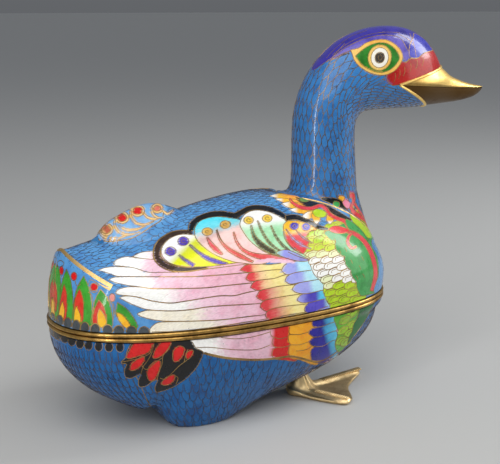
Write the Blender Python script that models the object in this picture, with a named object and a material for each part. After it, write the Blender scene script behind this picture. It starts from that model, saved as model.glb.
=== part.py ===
"""A lidded enamel box in the form of a sitting duck, with gilt brass mounts.

The pieces are modelled round the middle of the seam between bowl and lid, with the beak at +X and the
duck's right side at -Y. One empty then stands them all on the ground plane, with the origin under the
middle of the whole object.
"""

import math

import bmesh
import bpy
from mathutils import Vector
from mathutils.bvhtree import BVHTree

MM = 0.001

# Seam between bowl and lid, seen from above: an oval, blunter at the chest than at the rump
SEAM_LENGTH = 175.0 * MM
SEAM_WIDTH = 95.8 * MM
CHEST_FULLNESS = 2.7
RUMP_FULLNESS = 2.2

# Walls and gaps
SHELL_WALL = 1.6 * MM
JOINT_GAP = 0.3 * MM

# Brass rims of bowl and lid, and the lip that keeps the lid in place
RIM_HEIGHT = 1.9 * MM
RIM_PROUD = 0.9 * MM
RIM_DEPTH = 2.2 * MM
LIP_HEIGHT = 2.6 * MM
LIP_WALL = 1.0 * MM
LIP_CLEARANCE = 0.4 * MM

# Back of the lid: how round its sides are, how far they swell out, and the arch from tail to neck
SIDE_FULLNESS = 2.25
SIDE_SWELL = 0.8 * MM
CHEST_SWELL = 1.6 * MM
CHEST_SHARES = (0.2, 0.95)
SWELL_LENGTH = 0.7
STEEP_REACH = 4.0 * MM
ROUND_REACH = 34.0 * MM
STEEP_LEAN = 1.5
BACK_ARCH = 24.5 * MM
ARCH_START = 1.5
ARCH_END = 0.62

# Tail: an upright panel with an arched top edge
TAIL_HEIGHT = 34.7 * MM
TAIL_DROP = 13.4 * MM
TAIL_EDGE_CURVE = 1.4
TAIL_HALF_WIDTH = 32.0 * MM
TAIL_LEAN = 4.4 * MM
TAIL_LEAN_CURVE = 2.6
TAIL_LEAN_SPREAD = 4
TAIL_FADE_START = 28.0 * MM
TAIL_FADE_END = 41.0 * MM

# Curled feathers, a rounded boss on the back before the tail
CURL_X = -43.5 * MM
CURL_LENGTH = 42.0 * MM
CURL_WIDTH = 28.0 * MM
CURL_HEIGHT = 8.5 * MM

# Collar: the line round the foot of the neck, where the neck is joined to the lid
COLLAR_REAR_X = 34.6 * MM
COLLAR_LENGTH = 54.0 * MM
COLLAR_WIDTH = 40.0 * MM
COLLAR_HEIGHT = 50.2 * MM
COLLAR_DROP = 27.0 * MM
COLLAR_CURVE = 1.7

# Bowl, with a thigh to each side under it, a crease behind them, and small flats to rest on
BOWL_DEPTH = 48.0 * MM
BELLY_FULLNESS = 2.6
BREAST_FULLNESS = 1.8
BREAST_TUCK = 3.2 * MM
TUCK_START = 1.0 * MM
TUCK_FULL = 6.0 * MM
TUCK_DEPTH = 15.0 * MM
TUCK_CURVE = 1.5
BELLY_MIDDLE_X = -8.75 * MM
REST_DEPTH = 51.5 * MM
THIGH_X = -25.0 * MM
THIGH_SPREAD = 50.0 * MM
THIGH_LENGTH = 50.0 * MM
THIGH_WIDTH = 26.0 * MM
THIGH_DEPTH = 14.5 * MM
CREASE_X = -46.5 * MM
CREASE_WIDTH = 12.0 * MM
CREASE_DEPTH = 4.5 * MM
CREASE_FADE = 20.0 * MM

# Neck and head
NECK_WALL = 1.6 * MM
WEDGE_WALL = 1.9 * MM
FOOT_HOLLOW = 0.45
FOOT_LIFT = 0.5
MOUTH_CORNER = (95.0 * MM, 104.5 * MM)
FOREHEAD_END = (134.0 * MM, 112.7 * MM)
CHIN_END = (124.2 * MM, 91.3 * MM)

# Beak
BEAK_LIP = 0.6 * MM
BEAK_LIP_WIDTH = 1.1 * MM
BEAK_LIP_STEP = 1.4 * MM
BEAK_GAP = 0.5 * MM
BEAK_TIP = (167.0 * MM, 99.8 * MM)
MOUTH_STEP = 0.7 * MM

# Feet
HEEL = (37.0 * MM, 15.0 * MM)
TOE_LENGTHS = (46.0 * MM, 30.5 * MM)
TOE_TURNS = (8.5, -64.0)
LEFT_FOOT_TURN_OUT = 14.0
WEB_LENGTH = 27.0 * MM
WEB_THICKNESS = 1.6 * MM
TOE_RIDGE = 2.2 * MM
TOE_TIP_RADIUS = 2.6 * MM
TOE_RIB_RADIUS = 3.2 * MM
WEB_CURVE = 2.2
HEEL_RADIUS = 7.0 * MM
PAD_RADIUS = 5.25 * MM
HUMP_RADIUS = 9.1 * MM
FOOT_HEIGHT = 6.5 * MM

# How finely the round forms are cut
SEAM_SEGMENTS = 48
BEAD_TURNS = (-90, -35, 35, 90)
LID_PANEL_STEPS = 3
LID_BACK_ROWS = (0, 0.07, 0.13, 0.165, 0.2, 0.25, 0.31, 0.37, 0.44, 0.52, 0.63, 0.75, 0.86, 0.94, 1)
BOWL_FIRST_SINK = 0.02
BOWL_STEPS = 12
NECK_SEGMENTS = 24
NECK_FOOT_ROWS = (0.3, 0.6)
NECK_STEPS = 15
BEAK_UPPER_TURNS = (0, 18, 36, 53, 68, 80, 89)
BEAK_LOWER_TURNS = (97, 108, 122, 138, 158, 180)
BEAK_BASE_ROWS = (0.35, 0.7)
FOOT_RINGS = (0.13, 0.27, 0.42, 0.6, 0.78, 0.93, 1.0)
WEB_SHARES = (0.0, 0.06, 0.13, 0.24, 0.37, 0.5, 0.63, 0.76, 0.87, 0.94, 1.0)
TOE_SIDE_TURNS = (4.0, 9.0, 16.0, 32.0, 62.0)
HEEL_TURNS = (96.0, 138.0, 182.0)

HALF_LENGTH = SEAM_LENGTH / 2
HALF_WIDTH = SEAM_WIDTH / 2
RIM_TOP = JOINT_GAP / 2 + RIM_HEIGHT
SHELL_EDGE = RIM_TOP + 1.5 * JOINT_GAP
TAIL_EDGE_CLIMB = 0.25

# Neck and head as rings, from the foot of the neck to the front of the face, in mm. Each has its back or
# top point and its front or under point in the middle plane, its half width, and how far down its
# widest place lies
HEAD_RINGS = (
    ((43.9, 56.5), (78.4, 50.0), 16.9, 0.50),
    ((44.2, 68.0), (77.2, 64.0), 16.5, 0.50),
    ((44.2, 80.0), (76.6, 75.0), 16.2, 0.50),
    ((45.0, 91.0), (76.6, 83.0), 16.0, 0.50),
    ((47.8, 101.4), (78.5, 87.8), 15.9, 0.50),
    ((52.8, 111.4), (82.5, 90.0), 15.9, 0.52),
    ((60.4, 120.2), (87.5, 90.8), 16.0, 0.56),
    ((70.3, 127.4), (93.0, 91.0), 16.2, 0.61),
    ((82.0, 131.9), (98.5, 91.0), 16.2, 0.66),
    ((93.5, 133.8), (104.0, 91.0), 16.0, 0.68),
    ((105.0, 133.6), (109.5, 91.0), 15.3, 0.69),
    ((115.0, 131.3), (114.5, 91.0), 14.0, 0.70),
    ((123.5, 126.6), (119.0, 91.1), 12.4, 0.70),
    ((130.0, 119.8), (122.5, 91.3), 10.4, 0.68),
    ((134.6, 111.5), (125.0, 91.6), 8.2, 0.60),
    ((136.2, 104.0), (126.5, 92.5), 5.6, 0.50),
)

# Beak as upright sections in mm: place along X, top, mouth line, underside, half width
BEAK_RINGS = (
    (141.0, 107.6, 101.0, 92.3, 7.3),
    (148.0, 104.7, 100.6, 92.8, 6.1),
    (155.0, 102.6, 100.3, 93.7, 4.9),
    (161.0, 101.3, 100.0, 95.1, 3.5),
    (165.0, 100.6, 99.9, 97.2, 2.0),
)

RIGHT, LEFT = -1, 1


def clear_scene():
    for obj in list(bpy.data.objects):
        bpy.data.objects.remove(obj, do_unlink=True)


def enamel(name, colour, roughness):
    material = bpy.data.materials.new(name)
    material.use_nodes = True
    shader = material.node_tree.nodes["Principled BSDF"]
    shader.inputs["Base Color"].default_value = (*colour, 1.0)
    shader.inputs["Roughness"].default_value = roughness
    shader.inputs["Metallic"].default_value = 0.0
    return material


def brass(name, colour, roughness):
    material = enamel(name, colour, roughness)
    material.node_tree.nodes["Principled BSDF"].inputs["Metallic"].default_value = 1.0
    return material


def smooth_step(low, high, value):
    share = min(1.0, max(0.0, (value - low) / (high - low)))
    return share * share * (3 - 2 * share)


def signed_power(value, power):
    return math.copysign(abs(value) ** power, value)


def turns(count):
    return [2 * math.pi * i / count for i in range(count)]


def seam_point(angle, outward=0.0):
    """A point of the seam from above, moved outward along the seam's own normal."""
    c, s = math.cos(angle), math.sin(angle)
    power = CHEST_FULLNESS if c > 0 else RUMP_FULLNESS
    x = HALF_LENGTH * signed_power(c, 2 / power)
    y = HALF_WIDTH * signed_power(s, 2 / power)
    along = signed_power(x / HALF_LENGTH, power - 1) / HALF_LENGTH
    across = signed_power(y / HALF_WIDTH, power - 1) / HALF_WIDTH
    return Vector((x, y)) + Vector((along, across)).normalized() * outward


def collar_point(angle, inward=0.0):
    """The line round the foot of the neck: high behind, falling towards the chest."""
    forward = (1 + math.cos(angle)) / 2
    x = COLLAR_REAR_X + inward + (COLLAR_LENGTH - 2 * inward) * forward
    y = (COLLAR_WIDTH / 2 - inward) * math.sin(angle)
    return Vector((x, y, COLLAR_HEIGHT - COLLAR_DROP * forward**COLLAR_CURVE))


def tail_share(seam):
    """1 across the tail's upright panel, fading to 0 along the body's sides."""
    if seam.x > 0:
        return 0.0
    return 1 - smooth_step(TAIL_FADE_START, TAIL_FADE_END, abs(seam.y))


def tail_profile(climb, seam, collar):
    """Share of the way in, and height: up the tail's panel, over its edge and along the back."""
    across = abs(seam.y) / TAIL_HALF_WIDTH
    edge_in = TAIL_LEAN * (1 - min(1.0, across) ** TAIL_LEAN_SPREAD) / (collar.xy - seam).length
    edge_z = TAIL_HEIGHT - TAIL_DROP * across**TAIL_EDGE_CURVE
    if climb <= TAIL_EDGE_CLIMB:
        up = climb / TAIL_EDGE_CLIMB
        return edge_in * up**TAIL_LEAN_CURVE, SHELL_EDGE + (edge_z - SHELL_EDGE) * up
    along = (climb - TAIL_EDGE_CLIMB) / (1 - TAIL_EDGE_CLIMB)
    arch = BACK_ARCH * along**ARCH_START * (1 - along) ** ARCH_END
    return edge_in + (1 - edge_in) * along, edge_z + (collar.z - edge_z) * along + arch


def side_profile(climb, seam, collar):
    """Share of the way in, and height: rounded along the sides, straight up the steep chest."""
    turn = climb * math.pi / 2
    rounded = smooth_step(STEEP_REACH, ROUND_REACH, (collar.xy - seam).length)
    share_in = 1 - max(0.0, math.cos(turn)) ** (2 / SIDE_FULLNESS)
    share_up = math.sin(turn) ** (2 / SIDE_FULLNESS)
    share_in = rounded * share_in + (1 - rounded) * climb**STEEP_LEAN
    share_up = rounded * share_up + (1 - rounded) * climb
    return share_in, SHELL_EDGE + (collar.z - SHELL_EDGE) * share_up


def curl_rise(x, y):
    """Height of the boss of curled feathers above the back."""
    away = ((x - CURL_X) / (CURL_LENGTH / 2)) ** 2 + (y / (CURL_WIDTH / 2)) ** 2
    return CURL_HEIGHT * max(0.0, 1 - away) ** 0.5


def lid_point(angle, climb):
    """The lid's outer surface: climb 0 is its lower edge and 1 the foot of the neck."""
    seam = seam_point(angle)
    collar = collar_point(angle)
    tail_in, tail_z = tail_profile(climb, seam, collar)
    side_in, side_z = side_profile(climb, seam, collar)
    share = tail_share(seam)
    plan = seam.lerp(collar.xy, share * tail_in + (1 - share) * side_in)
    chest = smooth_step(*CHEST_SHARES, seam.x / HALF_LENGTH)
    swell = (SIDE_SWELL + (CHEST_SWELL - SIDE_SWELL) * chest) * (1 - share)
    away = seam - collar.xy * (1 - chest)
    plan += away.normalized() * swell * math.sin(math.pi * min(1.0, climb / SWELL_LENGTH))
    z = share * tail_z + (1 - share) * side_z
    return Vector((plan.x, plan.y, z + curl_rise(plan.x, plan.y)))


def bowl_point(angle, sink):
    """The bowl's outer surface: sink 0 is its upper edge and 1 the middle of the belly."""
    turn = sink * math.pi / 2
    seam = seam_point(angle)
    breast = smooth_step(0, HALF_LENGTH, seam.x)
    fullness = BELLY_FULLNESS + (BREAST_FULLNESS - BELLY_FULLNESS) * breast
    spread = max(0.0, math.cos(turn)) ** (2 / fullness)
    depth = BOWL_DEPTH * math.sin(turn)
    tucked = smooth_step(TUCK_START, TUCK_FULL, depth) * math.exp(-((depth / TUCK_DEPTH) ** TUCK_CURVE))
    tuck = BREAST_TUCK * breast * tucked
    plan = Vector((BELLY_MIDDLE_X, 0.0)).lerp(seam - seam.normalized() * tuck, spread)
    thigh_x = (plan.x - THIGH_X) / (THIGH_LENGTH / 2)
    thigh_y = (abs(plan.y) - THIGH_SPREAD / 2) / (THIGH_WIDTH / 2)
    crease_x = (plan.x - CREASE_X) / (CREASE_WIDTH / 2)
    belly = BOWL_DEPTH + THIGH_DEPTH * math.exp(-(thigh_x**2) - thigh_y**2)
    belly -= CREASE_DEPTH * math.exp(-(crease_x**2)) * smooth_step(0, CREASE_FADE, abs(plan.y))
    z = -SHELL_EDGE - (belly - SHELL_EDGE) * math.sin(turn)
    return Vector((plan.x, plan.y, max(z, -REST_DEPTH)))


def along_rings(rings, share):
    """One ring's values, read smoothly from a table of rings; share runs from 0 to 1."""
    place = min(max(share, 0.0), 1.0) * (len(rings) - 1)
    first = min(int(place), len(rings) - 2)
    t = place - first
    weights = (
        (-(t**3) + 2 * t**2 - t) / 2,
        (3 * t**3 - 5 * t**2 + 2) / 2,
        (-3 * t**3 + 4 * t**2 + t) / 2,
        (t**3 - t**2) / 2,
    )
    picked = [rings[min(max(first + k - 1, 0), len(rings) - 1)] for k in range(4)]
    flat = [(*top, *under, half, low) for top, under, half, low in picked]
    return [sum(w * ring[i] for w, ring in zip(weights, flat)) for i in range(6)]


def head_point(share, angle, inward=0.0):
    """The skin of neck and head; angle 0 is the back or top and pi the front or underside."""
    top_x, top_z, under_x, under_z, half, low = along_rings(HEAD_RINGS, share)
    top, under = Vector((top_x, top_z)) * MM, Vector((under_x, under_z)) * MM
    inset = (under - top).normalized() * inward
    top, under = top + inset, under - inset
    middle = top.lerp(under, low)
    reach = (top if math.cos(angle) > 0 else under) - middle
    flat = middle + reach * abs(math.cos(angle))
    return Vector((flat.x, (half * MM - inward) * math.sin(angle), flat.y))


def above_beak(point, inset):
    """How far a point of the face lies outside the wedge that the beak fills, grown by inset."""
    corner_x, corner_z = MOUTH_CORNER
    sides = []
    for (end_x, end_z), side in ((FOREHEAD_END, 1), (CHIN_END, -1)):
        slope = (end_z - corner_z) / (end_x - corner_x)
        sides.append((side * (point.z - corner_z - slope * (point.x - corner_x))) / math.hypot(1, slope))
    return max(sides) - inset


def face_share(angle, inset, inward=0.0):
    """Where the line along the head at this angle meets the beak's wedge."""
    low, high = 0.4, 1.0
    for _ in range(30):
        middle = (low + high) / 2
        if above_beak(head_point(middle, angle, inward), inset) > 0:
            low = middle
        else:
            high = middle
    return low


def loft(bm, rings):
    """Quads between closed rings of points, each ring with as many points."""
    rows = [[bm.verts.new(p) for p in ring] for ring in rings]
    for low, high in zip(rows, rows[1:]):
        for i, corner in enumerate(low):
            after = (i + 1) % len(low)
            bm.faces.new((corner, low[after], high[after], high[i]))
    return rows


def close_row(bm, row, point):
    middle = bm.verts.new(point)
    for i, corner in enumerate(row):
        bm.faces.new((corner, row[(i + 1) % len(row)], middle))


def join_rows(bm, first, second):
    for i, corner in enumerate(first):
        after = (i + 1) % len(first)
        bm.faces.new((corner, first[after], second[after], second[i]))


def add_object(name, bm, material, parent):
    """A mesh object with its faces pointing out, shaded smooth except at edges."""
    bmesh.ops.recalc_face_normals(bm, faces=bm.faces)
    mesh = bpy.data.meshes.new(name)
    bm.to_mesh(mesh)
    bm.free()
    mesh.shade_smooth()
    mesh.set_sharp_from_angle(angle=math.radians(40))
    mesh.materials.append(material)
    obj = bpy.data.objects.new(name, mesh)
    bpy.context.scene.collection.objects.link(obj)
    obj.parent = parent
    return obj


def add_wall(obj):
    """Gives an open skin its wall, on the inner side."""
    wall = obj.modifiers.new("wall", "SOLIDIFY")
    wall.thickness = SHELL_WALL
    wall.offset = -1.0
    wall.use_even_offset = True
    wall.use_rim = True
    return obj


def make_lid(material, parent):
    panel = [TAIL_EDGE_CLIMB * i / LID_PANEL_STEPS for i in range(LID_PANEL_STEPS)]
    back = [TAIL_EDGE_CLIMB + (1 - TAIL_EDGE_CLIMB) * share for share in LID_BACK_ROWS]
    bm = bmesh.new()
    loft(bm, [[lid_point(a, c) for a in turns(SEAM_SEGMENTS)] for c in panel + back])
    return add_wall(add_object("lid", bm, material, parent))


def make_bowl(material, parent):
    bm = bmesh.new()
    sinks = [0, BOWL_FIRST_SINK] + [i / BOWL_STEPS for i in range(1, BOWL_STEPS)]
    rows = loft(bm, [[bowl_point(a, s) for a in turns(SEAM_SEGMENTS)] for s in sinks])
    close_row(bm, rows[-1], bowl_point(0.0, 1.0))
    return add_wall(add_object("bowl", bm, material, parent))


def make_rim(name, profile, material, parent):
    """A brass ring that follows the seam; profile is (outward, height) round its section."""
    bm = bmesh.new()
    rings = [[Vector((*seam_point(a, out), z)) for out, z in profile] for a in turns(SEAM_SEGMENTS)]
    rows = loft(bm, rings)
    join_rows(bm, rows[-1], rows[0])
    return add_object(name, bm, material, parent)


def bead(low, high):
    """The rounded outer face of a rim, from its lower to its upper edge."""
    middle, half = (low + high) / 2, (high - low) / 2
    sides = [math.radians(a) for a in BEAD_TURNS]
    return [(RIM_PROUD * math.cos(t), middle + half * math.sin(t)) for t in sides]


def make_rims(material, parent):
    low = JOINT_GAP / 2
    lid_profile = bead(low, RIM_TOP) + [(-RIM_DEPTH, RIM_TOP), (-RIM_DEPTH, low)]
    make_rim("lid_rim", lid_profile, material, parent)
    lip_out = -RIM_DEPTH - LIP_CLEARANCE
    lip_in = lip_out - LIP_WALL
    lip_top = low + LIP_HEIGHT
    lip = [(lip_out, -low), (lip_out, lip_top), (lip_in, lip_top), (lip_in, -RIM_TOP)]
    make_rim("bowl_rim", bead(-RIM_TOP, -low) + lip, material, parent)


def neck_skin(inward):
    """Rings of the neck and head's skin, from the collar to the edge of the beak's wedge."""
    inset = inward * WEDGE_WALL / NECK_WALL
    around = turns(NECK_SEGMENTS)
    lift = Vector((0.0, 0.0, 1.5 * JOINT_GAP))
    rings = [[collar_point(math.pi - a, JOINT_GAP + inward) + lift for a in around]]
    for share in NECK_FOOT_ROWS:
        ring = []
        for a in around:
            foot, neck = collar_point(math.pi - a, JOINT_GAP + inward), head_point(0.0, a, inward)
            hollow = (1 + math.cos(a)) / 2
            side = share ** (1 - FOOT_HOLLOW * hollow)
            rise = share ** (1 + FOOT_LIFT * hollow)
            plan = foot.xy.lerp(neck.xy, side)
            ring.append(Vector((plan.x, plan.y, foot.z + (neck.z - foot.z) * rise)))
        rings.append(ring)
    ends = [face_share(a, inset, inward) for a in around]
    for i in range(NECK_STEPS + 1):
        rings.append([head_point(end * i / NECK_STEPS, a, inward) for a, end in zip(around, ends)])
    return rings


def wedge_middle(ring):
    """The point half way between the mouth's two corners, from a skin's last ring."""
    corner = ring[len(ring) // 4]
    return Vector((corner.x, 0.0, corner.z))


def make_neck(material, parent):
    bm = bmesh.new()
    outer, inner = neck_skin(0.0), neck_skin(NECK_WALL)
    outer_rows = loft(bm, outer)
    inner_rows = loft(bm, inner)
    join_rows(bm, outer_rows[0], inner_rows[0])
    close_row(bm, outer_rows[-1], wedge_middle(outer[-1]))
    close_row(bm, inner_rows[-1], wedge_middle(inner[-1]))
    return add_object("neck_and_head", bm, material, parent)


def beak_angles():
    """Angles round the beak from the top down one side to the underside, split at the mouth."""
    return [math.radians(a) for a in BEAK_UPPER_TURNS], [math.radians(a) for a in BEAK_LOWER_TURNS]


def beak_section(ring, angle):
    x, top, mouth, under, half = (v * MM for v in ring)
    c, s = math.cos(angle), math.sin(angle)
    if c > 0:
        return Vector((x, half * s, mouth + (top - mouth) * c))
    step = MOUTH_STEP * math.sin(angle) ** 2
    return Vector((x, (half - step) * s, mouth - step / 2 + (mouth - step / 2 - under) * c))


def beak_columns():
    """Each column of points from the back of the beak to just before its tip, all the way round."""
    upper, lower = beak_angles()
    columns = []
    for angle in upper + lower:
        share = face_share(angle, -BEAK_GAP)
        base = head_point(share, angle)
        top_x, top_z, under_x, under_z, _, low = along_rings(HEAD_RINGS, share)
        middle = Vector((top_x, 0.0, top_z)).lerp(Vector((under_x, 0.0, under_z)), low) * MM
        out = (base - middle).normalized() * BEAK_LIP
        forward = Vector((BEAK_LIP_WIDTH, 0.0, 0.0))
        start = base + Vector((BEAK_LIP_STEP, 0.0, 0.0))
        column = [base, base + out, base + out + forward, start]
        first = beak_section(BEAK_RINGS[0], angle)
        column += [start.lerp(first, way) for way in BEAK_BASE_ROWS]
        column += [beak_section(ring, angle) for ring in BEAK_RINGS]
        columns.append(column)
    mirrored = [[Vector((p.x, -p.y, p.z)) for p in column] for column in columns[1:-1]]
    return columns + mirrored[::-1]


def make_beak(material, parent):
    columns = beak_columns()
    bm = bmesh.new()
    rows = loft(bm, [list(ring) for ring in zip(*columns)])
    upper, _ = beak_angles()
    corner = columns[len(upper) - 1][0]
    close_row(bm, rows[0], Vector((corner.x, 0.0, corner.z)))
    close_row(bm, rows[-1], Vector((BEAK_TIP[0], 0.0, BEAK_TIP[1])))
    return add_object("beak", bm, material, parent)


def foot_columns(turns_of_toes):
    """Turns of the lines that run out from the heel, in degrees from straight ahead, and their reach."""
    (inner, outer), (first, last) = TOE_LENGTHS, turns_of_toes
    columns = []
    for share in WEB_SHARES:
        toe = inner + (outer - inner) * share
        reach = WEB_LENGTH + (toe - WEB_LENGTH) * abs(2 * share - 1) ** WEB_CURVE
        columns.append((first + (last - first) * share, reach))
    for away in TOE_SIDE_TURNS:
        slope = math.tan(math.radians(away))
        for toe, turn, side in ((inner, first, 1), (outer, last, -1)):
            along = HEEL_RADIUS / (slope + (HEEL_RADIUS - TOE_TIP_RADIUS) / toe)
            columns.append((turn + side * away, min(along, toe) / math.cos(math.radians(away))))
    columns += [(first + turn, HEEL_RADIUS) for turn in HEEL_TURNS]
    return sorted(columns)


def toe_ridge(forward, across, turns_of_toes):
    """Height of the rib along each toe at a point seen from above, measured from the heel."""
    rise = 0.0
    for length, turn in zip(TOE_LENGTHS, turns_of_toes):
        c, s = math.cos(math.radians(turn)), math.sin(math.radians(turn))
        along, off = forward * c + across * s, across * c - forward * s
        if 0 < along < length:
            rise = max(rise, TOE_RIDGE * max(0.0, 1 - (off / TOE_RIB_RADIUS) ** 2))
    return rise


def make_foot(name, side, turn_out, bowl_tree, material, parent):
    """A cast webbed foot: flat sole, two ribbed toes with the web between, and a pad up to the belly."""
    heel = Vector((HEEL[0], side * HEEL[1]))
    turns_of_toes = [turn - turn_out for turn in TOE_TURNS]
    rings = []
    for way in FOOT_RINGS:
        ring = []
        for turn, reach in foot_columns(turns_of_toes):
            forward = reach * way * math.cos(math.radians(turn))
            across = reach * way * math.sin(math.radians(turn))
            plan = heel + Vector((forward, -side * across))
            hump = FOOT_HEIGHT * math.exp(-((math.hypot(forward, across) / HUMP_RADIUS) ** 2))
            height = max(WEB_THICKNESS + toe_ridge(forward, across, turns_of_toes), hump)
            belly = bowl_tree.ray_cast(Vector((*plan, -2 * REST_DEPTH)), Vector((0, 0, 1)))[0]
            roof = belly.z + REST_DEPTH - JOINT_GAP if belly else FOOT_HEIGHT
            top = roof if math.hypot(forward, across) < PAD_RADIUS else min(roof, height)
            ring.append(Vector((*plan, top - REST_DEPTH)))
        rings.append(ring)
    roof = bowl_tree.ray_cast(Vector((*heel, -2 * REST_DEPTH)), Vector((0, 0, 1)))[0].z - JOINT_GAP
    bm = bmesh.new()
    rows = loft(bm, rings + [[Vector((p.x, p.y, -REST_DEPTH)) for p in rings[-1]]])
    close_row(bm, rows[0], Vector((*heel, roof)))
    close_row(bm, rows[-1], Vector((*heel, -REST_DEPTH)))
    return add_object(name, bm, material, parent)


def surface_tree(obj):
    """The object's surface, walls included, for finding where its underside is."""
    graph = bpy.context.evaluated_depsgraph_get()
    evaluated = obj.evaluated_get(graph)
    mesh = evaluated.to_mesh()
    corners = [v.co.copy() for v in mesh.vertices]
    tree = BVHTree.FromPolygons(corners, [tuple(p.vertices) for p in mesh.polygons])
    evaluated.to_mesh_clear()
    return tree


def stand_on_ground(empty):
    """Puts the origin on the ground, under the middle of the box round all the pieces."""
    bpy.context.view_layer.update()
    graph = bpy.context.evaluated_depsgraph_get()
    points = []
    for obj in bpy.data.objects:
        if obj.type == "MESH":
            points += [Vector(corner) for corner in obj.evaluated_get(graph).bound_box]
    middle_x = (min(p.x for p in points) + max(p.x for p in points)) / 2
    empty.location = (-middle_x, 0.0, REST_DEPTH)


def main():
    clear_scene()
    box = bpy.data.objects.new("duck_box", None)
    bpy.context.scene.collection.objects.link(box)
    blue = enamel("blue enamel", (0.05, 0.20, 0.52), 0.22)
    wings = enamel("wing enamel", (0.62, 0.40, 0.42), 0.22)
    gilt = brass("gilt brass", (0.66, 0.46, 0.18), 0.35)
    dark = brass("dark brass", (0.36, 0.24, 0.09), 0.42)
    bowl = make_bowl(blue, box)
    make_lid(wings, box)
    make_rims(dark, box)
    make_neck(blue, box)
    make_beak(gilt, box)
    tree = surface_tree(bowl)
    make_foot("foot_right", RIGHT, 0.0, tree, gilt, box)
    make_foot("foot_left", LEFT, LEFT_FOOT_TURN_OUT, tree, gilt, box)
    stand_on_ground(box)


main()
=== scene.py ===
# %% [markdown]
# # A duck-shaped enamel box
# The real box is sheet copper. A maker bends fine brass wires into the outline of every feather and scale,
# fixes them to the copper, fills the cells between them with coloured glass powder, fires it, and grinds
# and polishes the surface. The rims, beak and feet are gilt brass.
#
# This script follows the same order. Each enamelled skin is built first, as a fine mesh from a few smooth
# curves. Its cells are then laid on it one after another, so that a later cell covers an earlier one, as
# feathers do. The colours are kept at the points of the mesh, and the wires become thin raised ribbons.

# %% Load the part and keep its box
import math
import bmesh
import bpy
import numpy as np
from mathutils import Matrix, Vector
from mathutils.bvhtree import BVHTree
from mathutils.kdtree import KDTree


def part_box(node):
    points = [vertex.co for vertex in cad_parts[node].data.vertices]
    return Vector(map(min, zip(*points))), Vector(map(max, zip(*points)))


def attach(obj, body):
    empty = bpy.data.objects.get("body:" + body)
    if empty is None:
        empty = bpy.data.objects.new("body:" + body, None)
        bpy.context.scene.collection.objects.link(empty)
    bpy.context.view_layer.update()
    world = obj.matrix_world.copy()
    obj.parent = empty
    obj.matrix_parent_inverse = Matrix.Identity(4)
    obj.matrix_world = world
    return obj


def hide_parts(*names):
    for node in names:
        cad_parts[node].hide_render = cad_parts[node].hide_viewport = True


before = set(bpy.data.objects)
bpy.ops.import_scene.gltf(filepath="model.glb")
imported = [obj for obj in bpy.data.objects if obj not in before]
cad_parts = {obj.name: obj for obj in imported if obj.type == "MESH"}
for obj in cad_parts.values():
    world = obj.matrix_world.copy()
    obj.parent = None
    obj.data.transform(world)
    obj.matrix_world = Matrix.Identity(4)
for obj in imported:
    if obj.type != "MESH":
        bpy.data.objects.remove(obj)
bpy.ops.object.select_all(action="DESELECT")
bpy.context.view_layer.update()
rim_low, rim_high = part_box("lid_rim")
JOINT_GAP = 0.3
REST_DEPTH = 51.5
MM_IN_METRE = 1000
SEAM_PLACE = np.array([(rim_low[0] + rim_high[0]) / 2, 0.0, REST_DEPTH / MM_IN_METRE])

# %% [markdown]
# ## Measures
# The forms are measured in millimetres from the middle of the seam between bowl and lid, with the beak at
# +X and the duck's right side at -Y. `to_part` turns them into the part's metres. Only the materials and the
# studio are in metres from the start.

# %% Sizes of the body
HALF_LENGTH, HALF_WIDTH = 87.5, 47.9
CHEST_FULLNESS, RUMP_FULLNESS = 2.7, 2.2
WALL = 1.6
RIM_HEIGHT, RIM_PROUD, RIM_DEPTH = 1.9, 0.9, 2.2
RIM_TOP = JOINT_GAP / 2 + RIM_HEIGHT
SHELL_EDGE = RIM_TOP + 1.5 * JOINT_GAP
SKIN_COLUMNS = 600
FLIP = np.array([1.0, -1.0, 1.0])


def to_part(points):
    return np.asarray(points, float) / MM_IN_METRE + SEAM_PLACE


def unit(vectors, spare=0.0):
    """Vectors of length one; spare keeps a vector without length from dividing by nothing."""
    return vectors / (np.linalg.norm(vectors, axis=-1, keepdims=True) + spare)


def rings_mesh(rows, start=0):
    """Quads between closed rings of points."""
    count, columns = rows.shape[:2]
    index = start + np.arange(count * columns).reshape(count, columns)
    after = np.roll(index, -1, 1)
    return np.stack([index[:-1], after[:-1], after[1:], index[1:]], -1).reshape(-1, 4).tolist()


def smooth_step(low, high, value):
    share = np.clip((value - low) / (high - low), 0, 1)
    return share * share * (3 - 2 * share)


def signed_power(value, power):
    return np.sign(value) * np.abs(value) ** power


def seam_line(angle, outward=0.0):
    """The seam from above: an oval, blunter at the chest than at the rump."""
    c, s = np.cos(angle), np.sin(angle)
    power = np.where(c > 0, CHEST_FULLNESS, RUMP_FULLNESS)
    x, y = HALF_LENGTH * signed_power(c, 2 / power), HALF_WIDTH * signed_power(s, 2 / power)
    along = signed_power(x / HALF_LENGTH, power - 1) / HALF_LENGTH
    across = signed_power(y / HALF_WIDTH, power - 1) / HALF_WIDTH
    size = np.hypot(along, across)
    return x + outward * along / size, y + outward * across / size


print("seam", 2 * HALF_LENGTH, "by", 2 * HALF_WIDTH, "mm")

# %% [markdown]
# ## The back
# The lid is one raised sheet: an upright tail panel, a round back with a boss of curled feathers, wings
# that roll down to the seam, and a hole for the neck. Its points come from two numbers, the angle round the
# seam and the climb from the seam to the neck, which suits a form that has no flat part to extrude.

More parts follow.
